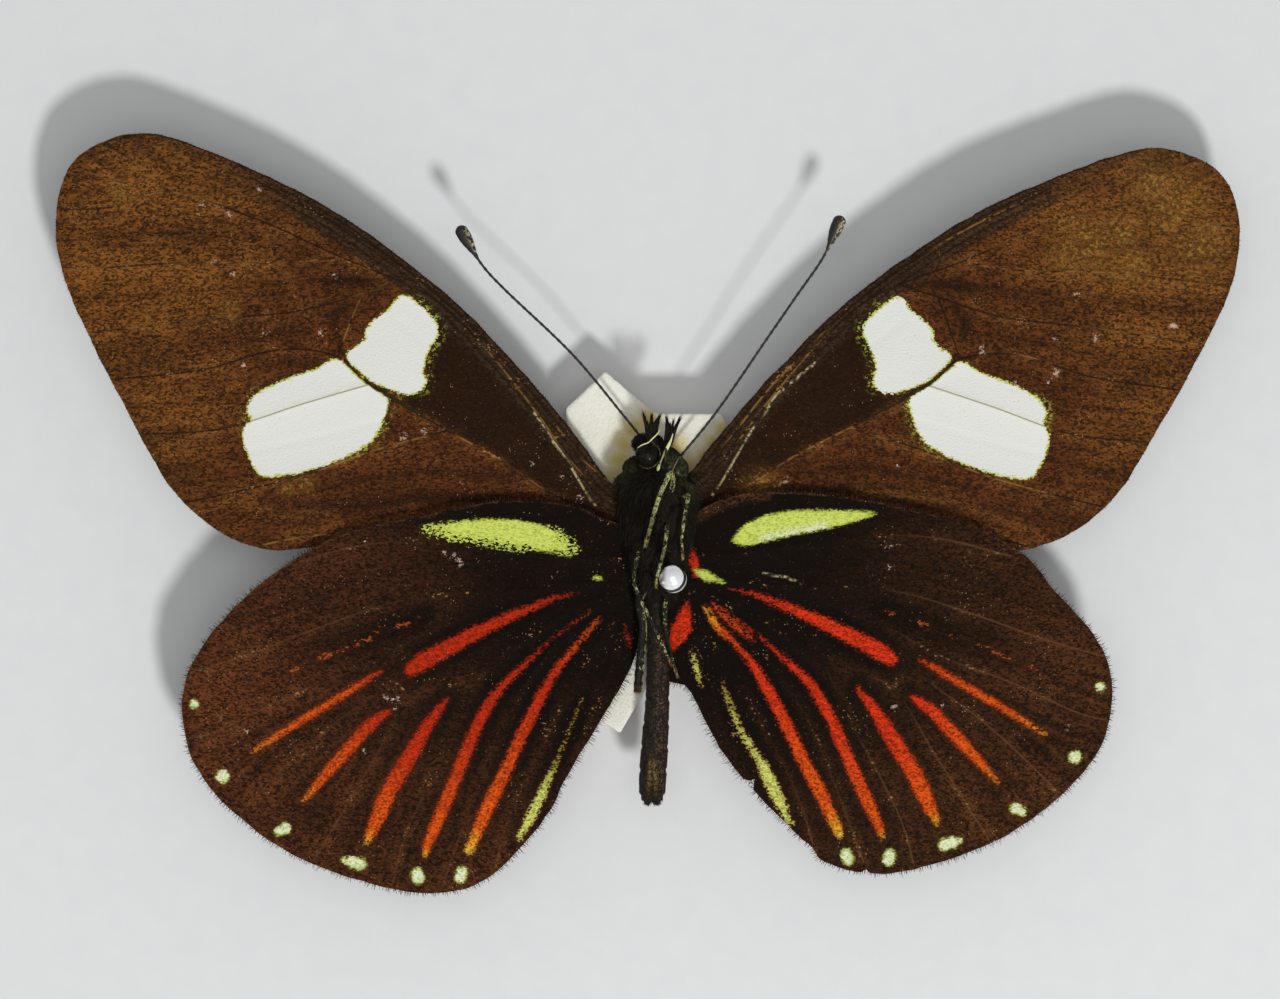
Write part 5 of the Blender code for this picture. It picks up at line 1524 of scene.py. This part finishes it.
pale_finish, shader = new_finish("pale_scales", 0.7, 0.3)
tuft_shade = stored(shader, "shade")
place = place_of(shader)
brightness = sums(shader, "MULTIPLY", stored(shader, "bright"), 0.3)
patches = sums(shader, "ADD", clouds(shader, place, 0.28, 3.0, 0.7), brightness)
mottle = ramp(shader, patches, 0.6, 0.76)
pale = mixed(shader, mottle, colour(26, 25, 15), colour(200, 202, 126))
gleam = sums(shader, "MULTIPLY", ramp(shader, tuft_shade, 0.45, 1.0, 0.0, 0.9), mottle)
pale = mixed(shader, gleam, pale, colour(226, 228, 176))
foot = ramp(shader, stored(shader, "foot"), 0.5, 1.0, 0.0, 0.75)
paint_with(shader, mixed(shader, foot, pale, colour(132, 84, 42)))
raise_by(shader, grains(shader, place, 0.05)[1], 0.015, 0.7)
for side, line in PALP_LINES.items():
    path = smooth_path(line, 0.1)
    bm = bmesh.new()
    loft(bm, path, 14)
    dark_faces = set(bm.faces)
    loft(bm, smooth_path(PALE_STRANDS[side], 0.06), 10, 0.7)
    bmesh.ops.recalc_face_normals(bm, faces=bm.faces)
    for face in bm.faces:
        face.material_index = int(face not in dark_faces)
    mesh = finished(bm, "palp_stem_" + side)
    store(mesh, "bright", np.ones(len(mesh.vertices)))
    store(mesh, "shade", np.full(len(mesh.vertices), 0.8))
    palp = add_piece("palp_stem_" + side, mesh, coat_finish, pale_finish)
    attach(palp, "root")
    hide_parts("palp_" + side)
    # Flat scales along the stem, and then the spikes, whose hairs all run to their spike's tip.
    roots, out, lie, patch = tube_roots(path[: len(path) * 4 // 5], PALP_SCALES, rng)
    lie = lie + rng.normal(0.0, 0.14, lie.shape)
    length = rng.uniform(*PALP_SCALE_LENGTHS, PALP_SCALES)
    tips = np.repeat(PALP_TIPS[side], SPIKE_HAIRS, axis=0)
    spikes, _, _, spike_patch = tube_roots(path[len(path) // 3:], len(tips), rng)
    spikes[:, 0] += SPIKE_SPREAD * (tips[:, 0] - tips[:, 0].mean())
    reach = np.column_stack([tips, spikes[:, 2] + 0.05]) - spikes + rng.normal(0.0, 0.018, spikes.shape)
    roots, patch = np.vstack([roots, spikes]), np.vstack([patch, spike_patch])
    out = np.vstack([out, np.tile((0.0, 0.0, 1.0), (len(tips), 1))])
    lie, length = np.vstack([lie, reach]), np.concatenate([length, np.linalg.norm(reach[:, :2], axis=1)])
    tufts, _ = grow(
        "palp_scales_" + side, coat_finish, roots, out, lie, length, PALP_HAIR_WIDTH, 0.05, patch,
        rng, flat=0.6, curl=0.04,
    )
    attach(tufts, "root")


# Tongue: a drinking tube of two half-pipes of brown horny cuticle. It grows from the mouth and lies
# coiled like a watch spring between the palps.
TONGUE_TURNS = 3.2
TONGUE_RADIUS = 0.06
TONGUE_INNER = 0.1
TONGUE_SWAY = 0.02
TONGUE_STEPS = 26

low, high = (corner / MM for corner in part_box("proboscis"))
centre = (low + high) / 2
reach = (high.z - low.z) / 2 - TONGUE_RADIUS
steps = int(TONGUE_TURNS * TONGUE_STEPS)
path = []
for i in range(steps + 1):
    angle = TONGUE_TURNS * math.tau * i / steps
    out = TONGUE_INNER + (reach - TONGUE_INNER) * i / steps
    path.append((
        centre.x + TONGUE_SWAY * math.sin(angle * 0.7), centre.y + out * math.cos(angle),
        centre.z + out * math.sin(angle), TONGUE_RADIUS * (0.6 + 0.4 * i / steps),
    ))
bm = bmesh.new()
loft(bm, path, 8)
bmesh.ops.recalc_face_normals(bm, faces=bm.faces)
horn, shader = new_finish("tongue_horn", 0.4, 0.4)
ridges = clouds(shader, place_of(shader), 0.08, 2.0)
paint_with(shader, mixed(shader, ridges, colour(30, 20, 14), colour(78, 50, 30)))
raise_by(shader, ridges, 0.008, 0.6)
tongue = add_piece("coiled_tongue", finished(bm, "coiled_tongue"), horn)
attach(tongue, "root")
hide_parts("proboscis")


# Legs: six thin jointed legs that dried folded over the breast, dark cuticle under pale green scales.
# Each has a thigh, a shin, a foot of five short joints and two hooked claws.
LEG_LINES = {
    "foreleg_right": (
        (-0.2, 4.2, 6.9), (0.02, 4.95, 8.2), (-0.12, 5.45, 8.8), (-0.72, 4.2, 8.65), (-1.2, 2.5, 8.45),
        (-1.45, 1.6, 8.25),
    ),
    "foreleg_left": (
        (0.35, 4.1, 6.7), (0.8, 4.35, 7.85), (0.75, 3.8, 8.45), (0.5, 2.2, 8.5), (0.56, 0.95, 8.35),
    ),
    "midleg_right": (
        (-1.35, 2.0, 6.9), (-1.85, 1.1, 7.8), (-2.0, -0.3, 8.2), (-1.5, -1.5, 8.2), (-1.0, -2.5, 8.05),
        (-0.5, -3.6, 7.95), (0.0, -4.7, 7.6),
    ),
    "midleg_left": (
        (-0.25, 3.0, 7.0), (-0.3, 2.4, 8.3), (-0.45, 1.4, 8.5), (-0.8, 0.1, 8.45), (-0.85, -0.55, 8.35),
    ),
    "hindleg_right": (
        (-1.35, -0.3, 6.4), (-1.75, -1.3, 7.15), (-1.55, -2.6, 7.05), (-1.72, -4.6, 6.7), (-1.84, -6.1, 6.4),
    ),
    "hindleg_left": (
        (-0.4, -0.75, 6.5), (-0.36, -1.2, 7.2), (-0.38, -2.5, 7.05), (-0.1, -3.9, 6.95), (0.28, -5.3, 6.9),
    ),
}
# The radius at the thigh and at the thin end.
LEG_RADII = {"foreleg_right": (0.13, 0.085), "hindleg_right": (0.2, 0.21)}
OTHER_RADII = (0.105, 0.055)
FOOT_SHARE = 0.55
FOOT_JOINTS = 5
FOOT_JOINT_SWELL = 0.2
FOOT_JOINT_WIDTH = 0.16
CLAW_LENGTH = 0.16
CLAW_SINK = 0.05
CLAW_SPREAD = 0.05
CLAW_RADIUS = 0.022
CLAW_TIP_RADIUS = 0.004
CLAW_DROP = np.array((0.0, 0.0, 0.1))
THIN_FROM = 0.85
FOOT_REACH = 2.0
LEG_SCALES = 1500
SCALE_LENGTH = 0.18
SCALE_WIDTH = 0.028
# Where the left hind leg has lost its scales: the middle and half the length of the stretch.
BARE_STRETCH = (-3.45, 0.85)
LEG_BRIGHTNESS = {"foreleg_right": 1.0, "foreleg_left": 0.6, "midleg_left": 0.6, "hindleg_right": 0.1}
OTHER_BRIGHTNESS = 0.4

for number, (name, line) in enumerate(LEG_LINES.items()):
    path = smooth_path(line, 0.09)
    share = distance_along(path)
    share = share / share[-1]
    foot = np.clip((share - FOOT_SHARE) / (1 - FOOT_SHARE), 0.0, 1.0)
    thigh, thin = LEG_RADII.get(name, OTHER_RADII)
    radius = thigh + (thin - thigh) * np.clip(share / THIN_FROM, 0.0, 1.0)
    joint = ((foot * FOOT_JOINTS) % 1.0 - 0.1) / FOOT_JOINT_WIDTH
    radius *= 1 + FOOT_JOINT_SWELL * np.exp(-joint ** 2) * (foot > 0)
    radius[-1] *= 0.5
    rows = np.column_stack([path, radius])
    bm = bmesh.new()
    loft(bm, rows, 12)
    tip, ahead = path[-1], (path[-1] - path[-3]) / np.linalg.norm(path[-1] - path[-3])
    side = np.cross(ahead, (0.0, 0.0, 1.0))
    for way in (-1.0, 1.0):
        claw = []
        for s in (0.0, 0.35, 0.7, 1.0):
            place = tip + ahead * (CLAW_LENGTH * s - CLAW_SINK) + side * way * CLAW_SPREAD * (1 + 2 * s)
            claw.append((*(place - CLAW_DROP * s * s), CLAW_RADIUS * (1 - s) + CLAW_TIP_RADIUS))
        loft(bm, claw, 6)
    bmesh.ops.recalc_face_normals(bm, faces=bm.faces)
    leg = add_piece(name + "_limb", finished(bm, name + "_limb"), coat_finish)
    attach(leg, "root")
    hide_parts(name)
    roots, out, lie, patch = tube_roots(rows[:-2], LEG_SCALES, rng)
    patch[:, 0] = (number + 0.9 * patch[:, 0]) / len(LEG_LINES)
    lie = lie + rng.normal(0.0, 0.12, lie.shape)
    tufts, points = grow(
        name + "_scales", pale_finish, roots, out, lie, np.full(LEG_SCALES, SCALE_LENGTH), SCALE_WIDTH,
        0.12, patch, rng, flat=0.4,
    )
    bright = np.full(len(points), LEG_BRIGHTNESS.get(name, OTHER_BRIGHTNESS))
    if name == "hindleg_left":
        bright[np.abs(points[:, 1] - BARE_STRETCH[0]) < BARE_STRETCH[1]] = 0.0
    if name == "hindleg_right":
        bright[np.repeat(out[:, 0], len(points) // len(out)) > 0.75] = 0.85
    store(tufts.data, "bright", bright)
    store(tufts.data, "foot", 1 - np.linalg.norm(points - tip, axis=1) / FOOT_REACH)
    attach(tufts, "root")
